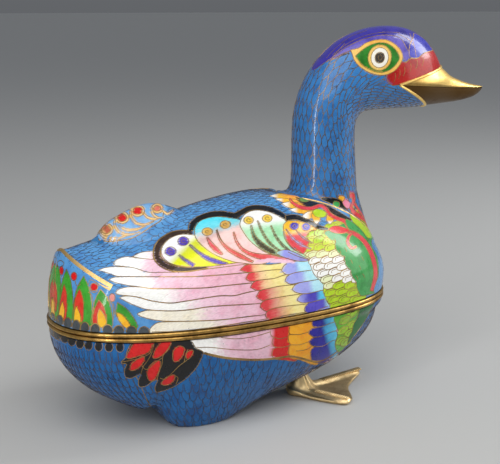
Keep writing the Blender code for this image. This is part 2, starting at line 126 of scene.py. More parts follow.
# %% Curves of the lid
SIDE_FULLNESS = 2.25
BACK_ARCH = 6.8
SIDE_SWELL, CHEST_SWELL = 0.8, 0.8
TAIL_EDGE_CLIMB = 0.25
TAIL_HEIGHT, TAIL_DROP, TAIL_HALF_WIDTH, TAIL_LEAN = 34.7, 13.4, 32.0, 4.4
COLLAR_REAR_X, COLLAR_LENGTH, COLLAR_HALF_WIDTH = 34.6, 54.0, 20.0
COLLAR_HEIGHT, COLLAR_DROP = 50.2, 27.0
BOSS_X, BOSS_HALF_LENGTH, BOSS_HALF_WIDTH, BOSS_HEIGHT = -43.5, 21, 14, 8.5


def collar_line(angle, inward=0.0):
    forward = (1 + np.cos(angle)) / 2
    x = COLLAR_REAR_X + inward + (COLLAR_LENGTH - 2 * inward) * forward
    return x, (COLLAR_HALF_WIDTH - inward) * np.sin(angle), COLLAR_HEIGHT - COLLAR_DROP * forward**1.7


def lid_surface(angle, climb):
    """Points of the lid's outside; climb 0 is its lower edge and 1 the foot of the neck."""
    angle, climb = np.broadcast_arrays(angle, climb)
    sx, sy = seam_line(angle)
    cx, cy, cz = collar_line(angle)
    reach = np.hypot(cx - sx, cy - sy)
    across = np.abs(sy) / TAIL_HALF_WIDTH
    edge_in = TAIL_LEAN * (1 - np.minimum(1, across) ** 4) / reach
    edge_z = TAIL_HEIGHT - TAIL_DROP * across**1.4
    up = np.minimum(1, climb / TAIL_EDGE_CLIMB)
    along = np.clip((climb - TAIL_EDGE_CLIMB) / (1 - TAIL_EDGE_CLIMB), 0, 1)
    arch = BACK_ARCH * 3.6 * along**1.5 * (1 - along) ** 0.62
    on_panel = climb <= TAIL_EDGE_CLIMB
    tail_in = np.where(on_panel, edge_in * up**2.6, edge_in + (1 - edge_in) * along)
    tail_z = np.where(on_panel, SHELL_EDGE + (edge_z - SHELL_EDGE) * up,
                      edge_z + (cz - edge_z) * along + arch)
    turn = climb * math.pi / 2
    rounded = smooth_step(4, 34, reach)
    side_in = rounded * (1 - np.maximum(0, np.cos(turn)) ** (2 / SIDE_FULLNESS)) + (1 - rounded) * climb**1.5
    side_up = rounded * np.sin(turn) ** (2 / SIDE_FULLNESS) + (1 - rounded) * climb
    side_z = SHELL_EDGE + (cz - SHELL_EDGE) * side_up
    share = np.where(sx > 0, 0, 1 - smooth_step(TAIL_HALF_WIDTH - 4, TAIL_HALF_WIDTH + 9, np.abs(sy)))
    go_in = share * tail_in + (1 - share) * side_in
    chest = smooth_step(0.2, 0.95, sx / HALF_LENGTH)
    swell = (SIDE_SWELL + CHEST_SWELL * chest) * (1 - share) * np.sin(math.pi * np.minimum(1, 1.4 * climb))
    ax, ay = sx - cx * (1 - chest), sy - cy * (1 - chest)
    size = np.hypot(ax, ay)
    x = sx + (cx - sx) * go_in + swell * ax / size
    y = sy + (cy - sy) * go_in + swell * ay / size
    blend = 0.5 + 0.7 * smooth_step(-60, -30, x)
    round_boss = 1 - ((x - BOSS_X) / BOSS_HALF_LENGTH) ** 2 - (y / BOSS_HALF_WIDTH) ** 2
    boss = BOSS_HEIGHT * np.maximum(0, round_boss) ** blend
    return np.stack([x, y, share * tail_z + (1 - share) * side_z + boss], -1)


skin_angles = np.linspace(0, 2 * math.pi, SKIN_COLUMNS, endpoint=False)
panel_climbs = np.linspace(0, TAIL_EDGE_CLIMB, 50, endpoint=False)
back_climbs = np.linspace(TAIL_EDGE_CLIMB, 1, 100)
lid_climbs = np.concatenate([panel_climbs, back_climbs])
lid_rows = lid_surface(skin_angles[None], lid_climbs[:, None])
print("lid rows", lid_rows.shape, "highest point", round(float(lid_rows[..., 2].max()), 1))

# %% [markdown]
# ## The bowl
# The lower half is a deep oval dish with two thighs pressed out of its underside and a crease behind them.

# %% Curves of the bowl
BOWL_DEPTH = 48.0
BREAST_TUCK = 3.2
THIGH_X, THIGH_Y, THIGH_LENGTH, THIGH_WIDTH, THIGH_DEPTH = -25, 25, 25, 13, 14.5
CREASE_X, CREASE_WIDTH, CREASE_DEPTH = -46.5, 4.6, 6.0


def bowl_surface(angle, sink):
    """Points of the bowl's outside; sink 0 is its upper edge and 1 the middle of the belly."""
    angle, sink = np.broadcast_arrays(angle, sink)
    turn = sink * math.pi / 2
    sx, sy = seam_line(angle)
    breast = smooth_step(0, HALF_LENGTH, sx)
    spread = np.maximum(0, np.cos(turn)) ** (2 / (2.6 - 0.8 * breast))
    depth = BOWL_DEPTH * np.sin(turn)
    tuck = BREAST_TUCK * breast * smooth_step(1, 6, depth) * np.exp(-((depth / 15) ** 1.5))
    size = np.hypot(sx, sy)
    x = (1 - spread) * -0.1 * HALF_LENGTH + spread * (sx - tuck * sx / size)
    y = spread * (sy - tuck * sy / size)
    thigh = np.exp(-(((x - THIGH_X) / THIGH_LENGTH) ** 2) - ((np.abs(y) - THIGH_Y) / THIGH_WIDTH) ** 2)
    crease = np.exp(-(((x - CREASE_X) / CREASE_WIDTH) ** 2))
    belly = BOWL_DEPTH + THIGH_DEPTH * thigh
    belly -= CREASE_DEPTH * crease * smooth_step(0, 20, np.abs(y))
    z = -SHELL_EDGE - (belly - SHELL_EDGE) * np.sin(turn)
    return np.stack([x, y, np.maximum(z, -REST_DEPTH)], -1)


bowl_sinks = np.linspace(0, 1, 125, endpoint=False) ** 0.9
bowl_rows = bowl_surface(skin_angles[None], bowl_sinks[:, None])
print("bowl rows", bowl_rows.shape, "lowest point", round(float(bowl_rows[..., 2].min()), 1))

# %% [markdown]
# ## Neck and head
# The neck is a tube that leans back, swells into the head and is cut off by the wedge where the beak is let
# in. It is drawn ring by ring: each ring has a back or top point, a front or under point, a half width and
# the share of the way from the first point to the second at which it is widest. The rings between are read
# smoothly from this table.

# %% Rings of the neck and head
HEAD_RINGS = np.array((
    (43.9, 56.5, 78.4, 50.0, 16.9, 0.50),
    (44.2, 68.0, 77.2, 64.0, 16.5, 0.50),
    (44.2, 80.0, 76.6, 75.0, 16.2, 0.50),
    (45.0, 91.0, 76.6, 83.0, 16.0, 0.50),
    (47.8, 101.4, 78.5, 87.8, 15.9, 0.50),
    (52.8, 111.4, 82.5, 90.0, 15.9, 0.52),
    (60.4, 120.2, 87.5, 90.8, 16.0, 0.56),
    (70.3, 127.4, 93.0, 91.0, 16.2, 0.61),
    (82.0, 131.9, 98.5, 91.0, 16.2, 0.66),
    (93.5, 133.8, 104.0, 91.0, 16.0, 0.68),
    (105.0, 133.6, 109.5, 91.0, 15.3, 0.69),
    (115.0, 131.3, 114.5, 91.0, 14.0, 0.70),
    (123.5, 126.6, 119.0, 91.1, 12.4, 0.70),
    (130.0, 119.8, 122.5, 91.3, 10.4, 0.68),
    (134.6, 111.5, 125.0, 91.6, 8.2, 0.60),
    (136.2, 104.0, 126.5, 92.5, 5.6, 0.50),
))
MOUTH_CORNER = (95.0, 104.5)
FOREHEAD_END, CHIN_END = (134.0, 112.7), (124.2, 91.3)


def head_surface(share, angle, inward=0.0):
    """Points of the neck and head; angle 0 is the back or top and pi the front or underside."""
    share, angle = np.broadcast_arrays(share, angle)
    place = np.clip(share, 0, 1) * (len(HEAD_RINGS) - 1)
    first = np.minimum(place.astype(int), len(HEAD_RINGS) - 2)
    t = (place - first)[..., None]
    weights = (
        (-(t**3) + 2 * t**2 - t) / 2,
        (3 * t**3 - 5 * t**2 + 2) / 2,
        (-3 * t**3 + 4 * t**2 + t) / 2,
        (t**3 - t**2) / 2,
    )
    ring = sum(w * HEAD_RINGS[np.clip(first + k - 1, 0, len(HEAD_RINGS) - 1)] for k, w in enumerate(weights))
    top, under, half, low = ring[..., 0:2], ring[..., 2:4], ring[..., 4], ring[..., 5:6]
    inset = unit(under - top) * inward
    top, under = top + inset, under - inset
    middle = top + (under - top) * low
    c = np.cos(angle)[..., None]
    flat = middle + (np.where(c > 0, top, under) - middle) * np.abs(c)
    return np.stack([flat[..., 0], (half - inward) * np.sin(angle), flat[..., 1]], -1)


def face_shares(angle, inset=0.0, inward=0.0):
    """Where the line along the head at each angle meets the wedge that the beak fills."""
    low, high = np.full_like(angle, 0.4), np.full_like(angle, 1.0)
    for _ in range(30):
        middle = (low + high) / 2
        point = head_surface(middle, angle, inward)
        sides = []
        for (end_x, end_z), side in ((FOREHEAD_END, 1), (CHIN_END, -1)):
            slope = (end_z - MOUTH_CORNER[1]) / (end_x - MOUTH_CORNER[0])
            rise = point[..., 2] - MOUTH_CORNER[1] - slope * (point[..., 0] - MOUTH_CORNER[0])
            sides.append(side * rise / math.hypot(1, slope))
        outside = np.maximum(sides[0], sides[1]) - inset > 0
        low, high = np.where(outside, middle, low), np.where(outside, high, middle)
    return low


def neck_rows(columns, steps, foot_steps, inward=0.0):
    angle = np.linspace(0, 2 * math.pi, columns, endpoint=False)
    cx, cy, cz = collar_line(math.pi - angle, JOINT_GAP + inward)
    foot, neck = np.stack([cx, cy, cz], -1), head_surface(0.0, angle, inward)
    hollow = (1 + np.cos(angle)) / 2
    rows = []
    for share in np.linspace(0, 1, foot_steps, endpoint=False):
        plan = foot[:, :2] + (neck[:, :2] - foot[:, :2]) * (share ** (1 - 0.65 * hollow))[:, None]
        z = foot[:, 2] + (neck[:, 2] - foot[:, 2]) * share ** (1 + 1.6 * hollow)
        z += (1 - share) * (1.5 * JOINT_GAP - 0.6 * inward * hollow)
        rows.append(np.column_stack([plan, z]))
    ends = face_shares(angle, 1.2 * inward, inward)
    rows += [head_surface(ends * i / steps, angle, inward) for i in range(steps + 1)]
    return np.array(rows)


head_rows = neck_rows(280, steps=270, foot_steps=14)
print("head rows", head_rows.shape, "top of head", round(float(head_rows[..., 2].max()), 1))

# %% [markdown]
# ## One skin, ready for its cells
# A maker draws a pattern flat, seen from the side, and pricks it through onto the copper. Here the flat
# drawing is a sheet that stands off the duck's right side, turned and tilted a little, and each point of the
# skin knows its place on it. The left side uses the same drawing turned over, so both wings match. Points
# that the sheet can't see straight keep the plain ground colour.

# %% The pattern sheet and the skins
SHEET_TURN, SHEET_TILT = math.radians(-30), math.radians(12.31)
SHEET_AWAY, SHEET_SCALE = 520.0, 1033.99
SHEET_AIM = np.array([16.99, 0.0, 32.88])
SHEET_WIDTH, SHEET_HEIGHT = 500.0, 464.0
SHEET_MIDDLE = (SHEET_WIDTH / 2, SHEET_HEIGHT / 2)
# A point is seen from the sheet when its normal leans that way by more than this share
GRAZING = 0.03
# A sight line starts this far off the skin, so that it doesn't hit its own place
CLEAR_OF_SKIN = 0.3
sheet_back = np.array([
    math.sin(SHEET_TURN) * math.cos(SHEET_TILT),
    -math.cos(SHEET_TURN) * math.cos(SHEET_TILT),
    math.sin(SHEET_TILT),
])
sheet_right = np.array([math.cos(SHEET_TURN), math.sin(SHEET_TURN), 0.0])
sheet_up = np.cross(sheet_back, sheet_right)
sheet_eye = SHEET_AIM + sheet_back * SHEET_AWAY


def on_sheet(points):
    away = points - sheet_eye
    depth = -(away @ sheet_back)
    return np.stack([
        SHEET_MIDDLE[0] + SHEET_SCALE * (away @ sheet_right) / depth,
        SHEET_MIDDLE[1] - SHEET_SCALE * (away @ sheet_up) / depth,
    ], -1)


def sheet_ray(spot):
    across = (spot[0] - SHEET_MIDDLE[0]) / SHEET_SCALE
    down = (spot[1] - SHEET_MIDDLE[1]) / SHEET_SCALE
    return Vector(sheet_eye), Vector(sheet_right * across - sheet_up * down - sheet_back).normalized()


def start_skin(rows, outward, ground, side_on=False):
    """A skin's points, normals, place on the sheet and first colour, with a tree for finding spots on it."""
    points = rows.reshape(-1, 3)
    around = np.roll(rows, -1, 1) - np.roll(rows, 1, 1)
    normals = unit(outward * np.cross(around, np.gradient(rows, axis=0)).reshape(-1, 3), 1e-12)
    quads = rings_mesh(rows)
    tree = BVHTree.FromPolygons(points.tolist(), quads)
    skin = {"points": points, "normals": normals, "quads": quads, "tree": tree, "side_on": side_on}
    skin["columns"] = rows.shape[1]
    if side_on:
        skin["sheet"] = points[:, [0, 2]]
        skin["seen"] = np.ones(len(points), bool)
    else:
        right = np.where(points[:, 1:2] > 0, points * FLIP, points)
        facing = np.where(points[:, 1:2] > 0, normals * FLIP, normals)
        skin["sheet"] = on_sheet(right)
        towards = unit(sheet_eye - right)
        seen = (facing * towards).sum(1) > GRAZING
        for i in np.flatnonzero(seen):
            start = Vector(right[i] + facing[i] * CLEAR_OF_SKIN)
            seen[i] = tree.ray_cast(start, Vector(towards[i]))[0] is None
        skin["seen"] = seen
    skin["colour"] = np.tile(colour(ground), (len(points), 1))
    skin["plain"] = np.ones(len(points), bool)
    skin["grit"] = np.zeros(len(points))
    skin["wires"] = []
    return skin


def colour(shade):
    """An enamel's colour as the renderer's linear light, from the 0 to 255 values of a colour chart."""
    c = np.array(shade, float) / 255
    return np.where(c <= 0.04045, c / 12.92, ((c + 0.055) / 1.055) ** 2.4)


GROUND_BLUE = (80, 141, 200)
BOWL_BLUE = (8, 90, 154)
NECK_BLUE = (48, 114, 180)
lid = start_skin(lid_rows, 1, GROUND_BLUE)
bowl = start_skin(bowl_rows, -1, BOWL_BLUE)
head = start_skin(head_rows, -1, NECK_BLUE, side_on=True)
print("points on the sheet:", int(lid["seen"].sum()), int(bowl["seen"].sum()))

# %% [markdown]
# ## Laying cells
# A cell is an outline on the sheet, filled with one enamel or with one that changes into another along a
# line, as when two powders meet in a cell. Laying it hides the wires under it, and its own wire is bent
# along its edge. A spot given twice in an outline makes a sharp corner.

# %% Cells, strokes and dots
WIRE = 0.42
STEP = 1.5
# How far stippled colours stray along a cell, and how uneven smooth and stippled enamels are
STIPPLE_REACH = 2.6
UNEVEN, GRITTY = 0.02, 0.045
# How much wider and taller a ring is than the dot in it
GOLD_RING = (5, 4.4)
chance = np.random.default_rng(7)


def smooth_line(spots, closed):
    """A smooth line through the spots, with a point about every STEP."""
    spots = np.array(spots, float)
    count = len(spots)
    pieces = []
    for i in range(count if closed else count - 1):
        picks = [i - 1, i, i + 1, i + 2]
        picks = [p % count for p in picks] if closed else [min(max(p, 0), count - 1) for p in picks]
        a, b, c, d = spots[picks]
        t = np.linspace(0, 1, max(1, math.ceil(np.linalg.norm(c - b) / STEP)), endpoint=False)[:, None]
        pieces.append(b + 0.5 * t * (c - a + t * (2 * a - 5 * b + 4 * c - d + t * (3 * b - a - 3 * c + d))))
    if not closed:
        pieces.append(spots[-1:])
    return np.concatenate(pieces)


def inside(spots, outline):
    x, y = spots[:, 0:1], spots[:, 1:2]
    after = np.roll(outline, -1, 0)
    crosses = (outline[:, 1] > y) != (after[:, 1] > y)
    drop = after[:, 1] - outline[:, 1]
    drop = np.where(drop == 0, 1e-9, drop)
    at = outline[:, 0] + (y - outline[:, 1]) * (after[:, 0] - outline[:, 0]) / drop
    return (crosses & (x < at)).sum(1) % 2 == 1


def within(spots, outline):
    """Which spots lie inside the outline, looking only at those in its box."""
    low, high = outline.min(0), outline.max(0)
    near = np.flatnonzero(((spots >= low) & (spots <= high)).all(1))
    return near[inside(spots[near], outline)] if len(near) else near


def lay_cell(skins, spots, shades, along=None, wire=WIRE, grit=0.0, curved=True):
    """Fills an outline with one enamel, or with stops of colour that change along a line of two spots."""
    outline = smooth_line(spots, True) if curved else np.array(spots, float)
    for skin in skins:
        hits = within(skin["sheet"], outline)
        hits = hits[skin["seen"][hits]]
        if not isinstance(shades[0], tuple):
            skin["colour"][hits] = colour(shades)
        else:
            start, end = np.array(along, float)
            way = end - start
            share = (skin["sheet"][hits] - start) @ way / (way @ way)
            share += chance.normal(0, STIPPLE_REACH * grit, len(hits)) / math.sqrt(way @ way)
            stops = [stop for stop, _ in shades]
            kinds = np.array([colour(shade) for _, shade in shades])
            skin["colour"][hits] = np.stack([np.interp(share, stops, kinds[:, k]) for k in range(3)], -1)
        skin["colour"][hits] *= 1 + chance.normal(0, UNEVEN + GRITTY * grit, (len(hits), 1))
        skin["plain"][hits] = False
        skin["grit"][hits] = grit
        for old in skin["wires"]:
            old["kept"][within(old["line"], outline)] = False
        if wire:
            line = np.concatenate([outline, outline[:1]])
            skin["wires"].append({"line": line, "kept": np.ones(len(line), bool), "width": wire})


def lay_wire(skins, spots, width=WIRE, closed=False):
    line = smooth_line(spots, closed)
    for skin in skins:
        skin["wires"].append({"line": line, "kept": np.ones(len(line), bool), "width": width})


def lay_stroke(skins, spots, widths, shades, along=None, wire=WIRE):
    """A cell of changing width that follows a line."""
    line = smooth_line(spots, False)
    way = np.gradient(line, axis=0)
    side = unit(np.stack([-way[:, 1], way[:, 0]], -1), 1e-9)
    half = np.interp(np.linspace(0, 1, len(line)), np.linspace(0, 1, len(widths)), widths)[:, None] / 2
    outline = np.concatenate([line + side * half, (line - side * half)[::-1]])
    lay_cell(skins, outline, shades, along, wire, curved=False)


def lay_dot(skins, x, y, wide, tall, shade, wire=WIRE, ring=None):
    turn = np.linspace(0, 2 * math.pi, 18, endpoint=False)
    if ring:
        lay_dot(skins, x, y, wide + GOLD_RING[0], tall + GOLD_RING[1], ring, wire)
    spots = np.stack([x + wide / 2 * np.cos(turn), y + tall / 2 * np.sin(turn)], -1)
    lay_cell(skins, spots, shade, wire=wire, curved=False)


print("tools ready")

# %% [markdown]
# ## Enamels
# Opaque enamels come in a few dozen colours. These are the ones in the wings, tail and head.

# %% The enamel colours
WHITE, CREAM, PINK, DEEP_PINK = (250, 249, 244), (246, 238, 218), (243, 198, 216), (236, 178, 196)
RED, SOFT_RED, ROSE = (208, 20, 20), (222, 66, 72), (240, 150, 155)
YELLOW, PALE_YELLOW, AMBER, LEMON = (247, 184, 30), (250, 232, 150), (244, 166, 24), (232, 238, 30)
LAVENDER, VIOLET, NAVY = (160, 164, 236), (84, 72, 192), (26, 18, 142)
SKY, CYAN, TURQUOISE = (186, 236, 250), (88, 196, 238), (70, 214, 238)
LIME, PALE_LIME, MINT = (178, 214, 26), (238, 244, 190), (170, 226, 178)
LEAF, EMERALD, FOREST = (58, 152, 42), (58, 154, 74), (12, 96, 34)
OLIVE, PURPLE, BLACK = (74, 66, 46), (92, 72, 186), (10, 9, 10)
UMBER, SLATE = (62, 44, 34), (62, 68, 72)
TOP = (lid,)
UNDER = (bowl,)

# %% [markdown]
# ## The long wing feathers
# Nine long feathers run forward from their white tips and turn pink. Their edges waver a little, because
# each wire was bent by hand.

# %% Long feathers on the lid
long_feathers = (
    ((147, 153), ((132.6, 256.4), (132.6, 256.4), (140, 252.7), (150, 251.3), (165, 251), (190, 256),
                  (190, 262), (170, 260.4), (153.3, 259.5), (139, 258))),
    ((138, 150), ((113.7, 263.2), (116, 260), (120, 258.3), (127, 256.6), (139, 258.2), (153.3, 259.5),
                  (175, 262), (200, 263), (246, 262), (246, 264), (212, 268.3), (182, 271.8), (165, 272.2),
                  (152.2, 272.4), (145.6, 271.6), (134.4, 268), (124, 266.5), (115.5, 265.4))),
    ((142, 154), ((97.6, 270.3), (97.6, 270.3), (104, 268), (112.2, 266.8), (123, 266.8), (134.4, 268),
                  (145.6, 271.7), (152.2, 272.5), (165, 272.3), (182, 271.9), (212, 268.5), (246, 264.1),
                  (262, 262.5), (262, 271.2), (250, 272.2), (201, 276.1), (162, 276.6), (129, 276.5),
                  (116.7, 276.1), (106.7, 272.6))),
    ((146, 160), ((109, 280), (109, 280), (112, 278), (116.7, 277), (129, 276.8), (162, 276.9), (201, 276.4),
                  (250, 272.5), (262, 271.4), (262, 281.5), (250, 282.9), (223, 285.7), (201, 287.9),
                  (156.7, 288.5), (140, 286.9), (123.3, 284.5), (113, 281.8))),
    ((164, 186), ((115.9, 292.2), (119, 289.3), (129, 286.9), (140, 287.1), (156.7, 288.8), (201, 288.2),
                  (223, 286), (250, 283.2), (268, 281), (268, 289.3), (250, 291.7), (234.4, 295.4),
                  (217.8, 295.9), (184.4, 301.2), (170, 302.9), (152.2, 300.8), (136.7, 296.8),
                  (118.5, 294.6))),
    ((184, 202), ((119.8, 297.6), (126, 296), (136.7, 297.1), (152.2, 301.1), (170, 303.2), (184.4, 301.5),
                  (217.8, 296.2), (234.4, 295.7), (250, 292), (270, 289.5), (270, 302.5), (250, 304),
                  (212, 306.3), (190, 309.5), (170, 310.8), (147.8, 309.5), (134.4, 305.3), (124, 300.4))),
    ((194, 212), ((137.5, 314.3), (142, 311.6), (150, 310.2), (170, 311.1), (190, 309.8), (212, 306.6),
                  (250, 304.3), (275, 302.5), (275, 313.5), (250, 316.2), (223, 319.5), (201, 320.7),
                  (173.3, 321.3), (158, 320.4), (145, 317.8))),
    ((208, 230), ((149.6, 329.8), (153, 325.6), (159, 322.4), (173.3, 321.7), (201, 321), (223, 319.8),
                  (250, 316.5), (275, 314), (275, 318.6), (250, 321.4), (212, 327.4), (179, 331),
                  (152, 331.8))),
    ((206, 230), ((149, 334), (152, 332), (179, 331.2), (212, 327.7), (250, 321.7), (275, 318.8), (275, 330),
                  (240, 338), (200, 345), (149, 345))),
)
PINK_REACH = 60
for number, ((white_end, pink_start), spots) in enumerate(long_feathers):
    tip = CREAM if number > 5 else WHITE
    pink_end = pink_start + PINK_REACH
    along = ((white_end, 280), (pink_end, 278))
    whole = pink_end - white_end
    stops = ((0, tip), ((pink_start - white_end) / whole, PINK), (1, DEEP_PINK))
    lay_cell(TOP, spots, stops, along, grit=1.0)
print(len(long_feathers), "long feathers")

# %% [markdown]
# ## The short wing feathers
# Over the long ones lie three rows of shorter feathers: red that fades to yellow, lavender or dark blue that
# fades to pale blue, and small lime ones with a bright middle.

# %% Red and yellow feathers
red_feathers = (
    (254, 264, ((240.4, 270.2), (240.4, 270.2), (243.2, 266.7), (247, 264.7), (256, 263.2), (268, 264.6),
                (284, 262.8), (300, 261), (300, 270), (284, 269.4), (270, 270.2), (256, 272),
                (247.5, 272.4))),
    (258, 268, ((246, 279.4), (246, 279.4), (247.4, 275.5), (250, 272.6), (256, 272), (270, 270.2),
                (284, 269.4), (300, 270), (300, 273.5), (286, 274.6), (275, 278.2), (263, 279.6),
                (251.5, 281.4))),
    (262, 274, ((250.4, 287.4), (250.4, 287.4), (252.4, 283.6), (256, 280.8), (263, 279.6), (275, 278.2),
                (286, 274.6), (302, 273.5), (306, 283), (293, 284.7), (280, 286.1), (268, 288.5),
                (258, 290.5))),
    (268, 284, ((256.3, 297), (256.3, 297), (258, 293.2), (261.2, 290.2), (268, 288.5), (280, 286.1),
                (293, 284.7), (308, 283), (312, 292.6), (298, 294.4), (285, 296.2), (272, 298.6),
                (263, 300.8))),
    (272, 288, ((260, 307), (260, 307), (261.4, 303), (265, 300.2), (272, 298.6), (285, 296.2), (298, 294.4),
                (314, 292.6), (318, 302.6), (305, 304.2), (290, 305.7), (277, 307.6), (266.5, 311.4))),
    (276, 290, ((265.2, 315.7), (265.2, 315.7), (266.4, 312.4), (270, 309.6), (277, 307.6), (290, 305.7),
                (305, 304.2), (320, 303), (322, 309), (300, 313), (282, 316), (270, 319.4))),
    (276, 290, ((268, 322.5), (270, 319.6), (282, 316.2), (300, 313.2), (324, 309), (324, 318), (290, 326),
                (268, 330))),
)
YELLOW_REACH, BLUR = 14, 3
for number, (red_end, yellow_start, spots) in enumerate(red_feathers):
    front = spots[0][0]
    reach = yellow_start + YELLOW_REACH - front
    middle = (248, 196, 150) if number < 3 else (226, 150, 130)
    stops = (
        (0, SOFT_RED),
        ((red_end - front - BLUR) / reach, SOFT_RED),
        ((red_end - front + BLUR) / reach, middle),
        ((yellow_start - front + BLUR) / reach, PALE_YELLOW),
        (1, PALE_YELLOW),
    )
    lay_cell(TOP, spots, stops, ((front, 290), (front + reach, 288)), grit=0.4)

# %% Lavender, dark blue and pale blue feathers
blue_feathers = (
    (LAVENDER, SKY, 296, ((281.4, 270.6), (281.4, 270.6), (283.6, 266.2), (288, 263), (293, 261),
                          (301, 259.4), (313, 259), (335, 259), (335, 268), (310, 270.4), (297, 272.2),
                          (287, 274.8))),
    (LAVENDER, SKY, 302, ((285, 280.8), (285, 280.8), (286.6, 277), (290, 274.4), (297, 272.2), (310, 270.4),
                          (335, 268), (340, 276), (324.4, 278.5), (310, 280.8), (301, 282.4), (290, 284))),
    (LAVENDER, SKY, 308, ((292, 289.6), (292, 289.6), (294, 286), (298, 283.4), (301, 282.4), (310, 280.8),
                          (324.4, 278.5), (340, 276), (342, 287), (324.4, 289.8), (308, 293.5),
                          (297, 292.8))),
    (VIOLET, CYAN, 314, ((297, 300.2), (297, 300.2), (299, 296.4), (303, 294), (308, 293.5), (324.4, 289.8),
                         (342, 287), (344, 295), (330, 297.5), (312, 302), (302, 302.8))),
    (VIOLET, SKY, 321, ((304, 309.8), (304, 309.8), (306, 305.6), (309, 302.8), (312, 302), (330, 297.5),
                        (344, 295), (347, 302), (330, 305.4), (319, 309.8), (309, 313.7))),
    (LAVENDER, SKY, 324, ((306, 315), (309, 313.7), (319, 309.8), (330, 305.4), (347, 302), (347, 310),
                          (325, 316), (306, 321))),
)
BLUE_REACH = 40
for number, (tip, root, turn_at, spots) in enumerate(blue_feathers):
    front = spots[0][0]
    first = LAVENDER if number == 3 else tip
    turned = ((turn_at - front) / BLUE_REACH, tip), ((turn_at - front + 5) / BLUE_REACH, root)
    stops = ((0, first), (0.25, tip), *turned, (1, root))
    lay_cell(TOP, spots, stops, ((front, 280), (front + BLUE_REACH, 276)), grit=0.15)

# %% Lime feathers and the green shoulder
lay_cell(TOP, ((303, 254), (307, 247), (309, 240), (306.5, 236), (308, 231), (314, 227.5), (328, 229.4),
               (345, 250), (356, 270), (362, 292), (352, 303), (336, 309), (328, 303), (323.5, 292),
               (323, 284), (314, 274), (309, 262)),
         ((0, LIME), (0.2, (206, 226, 90)), (0.36, WHITE), (0.6, WHITE), (0.74, LIME), (1, LIME)),
         ((318, 228), (340, 302)))
band = smooth_line(((312, 231), (309, 243), (311, 254), (320, 267), (327, 280), (331, 293), (336, 305)),
                   False)
shades = ((228, LIME), (240, (206, 226, 70)), (250, PALE_LIME), (258, WHITE), (273, WHITE), (280, PALE_LIME),
          (284, LIME))
small_feathers = 0
LIME_STEP_ACROSS, LIME_STEP_UP, LIME_DRIFT = 9.5, 3.4, 0.6
for across in range(4):
    for x, y in band[2 + 2 * (across % 2) :: 5]:
        x = x + LIME_STEP_ACROSS * across + chance.uniform(-LIME_DRIFT, LIME_DRIFT)
        y = y - LIME_STEP_UP * across + chance.uniform(-LIME_DRIFT, LIME_DRIFT)
        fits = [pick for low, pick in shades if y + chance.uniform(-3, 3) >= low or low == shades[0][0]]
        shade = fits[-1]
        lean = chance.uniform(-0.8, 0.8)
        lay_cell(TOP, ((x - 5.6, y + 3.6 + lean), (x - 5, y - 0.4), (x - 1, y - 2.8), (x + 5, y - 4.4),
                       (x + 10, y - 5), (x + 10, y), (x + 4, y + 2.4), (x - 1.6, y + 4.6)), shade)
        lay_wire(TOP, ((x - 2.6, y + 2), (x - 2.4, y - 0.2), (x + 1, y - 1.8), (x + 4.4, y - 2.4)), 0.3)
        small_feathers += 1
lay_cell(TOP, ((325.6, 231.4), (327, 236.6), (331, 240.2), (335, 241), (335, 244.6), (336.4, 250),
               (341, 255), (344.6, 256.6), (344.6, 260), (346.2, 266), (350.8, 270.6), (350.8, 273),
               (353, 278), (356, 282), (356.4, 287), (358.6, 292), (362, 296), (374, 293), (392, 285),
               (392, 240), (372, 224), (350, 222)),
         EMERALD)
for x, y in ((335.5, 241), (340.5, 252), (346, 250), (352, 262), (360.5, 268), (363, 259), (364, 276),
             (357.5, 278)):
    lay_wire(TOP, ((x - 1.6, y - 2.4), (x - 0.2, y - 0.6), (x + 0.4, y + 1.6)))
print(len(red_feathers), "red,", len(blue_feathers), "blue and", small_feathers, "lime feathers")

# %% [markdown]
# ## The four scallops
# Over the wing's front edge lie four rounded butterfly-like fields inside one black scalloped band. Each has
# two dots, and stripes that run down together to one point.

# %% Black bands
lay_stroke(TOP, ((193, 233.4), (184, 233), (173, 235), (163, 240.8), (157.8, 247.6), (157, 256),
                 (161.4, 262.8), (170, 267.4), (181, 269.2), (194, 268.8), (208, 267)),
           (5, 6.6, 7, 7, 6, 4.4, 2), UMBER, wire=0.8)
lay_stroke(TOP, ((191.4, 230.6), (192.4, 224.6), (199.4, 219), (210, 215), (221, 213.8), (232, 215.4),
                 (240, 217.6)),
           (6.4, 6.4, 6, 5.6, 5.4, 5), BLACK, wire=0.55)
lay_stroke(TOP, ((236, 215.4), (243, 211.6), (249, 208.6), (258, 207.4), (270, 209.4), (279.5, 213.8),
                 (287, 219)),
           (5.4, 5, 4.6, 5, 5.4, 5.4), BLACK, wire=0.55)
lay_stroke(TOP, ((285.6, 218.4), (292.2, 217.2), (299, 218), (308, 221.6), (318, 227), (328.6, 229.4)),
           (5.4, 5.4, 5, 5, 4, 2.4), BLACK, wire=0.55)

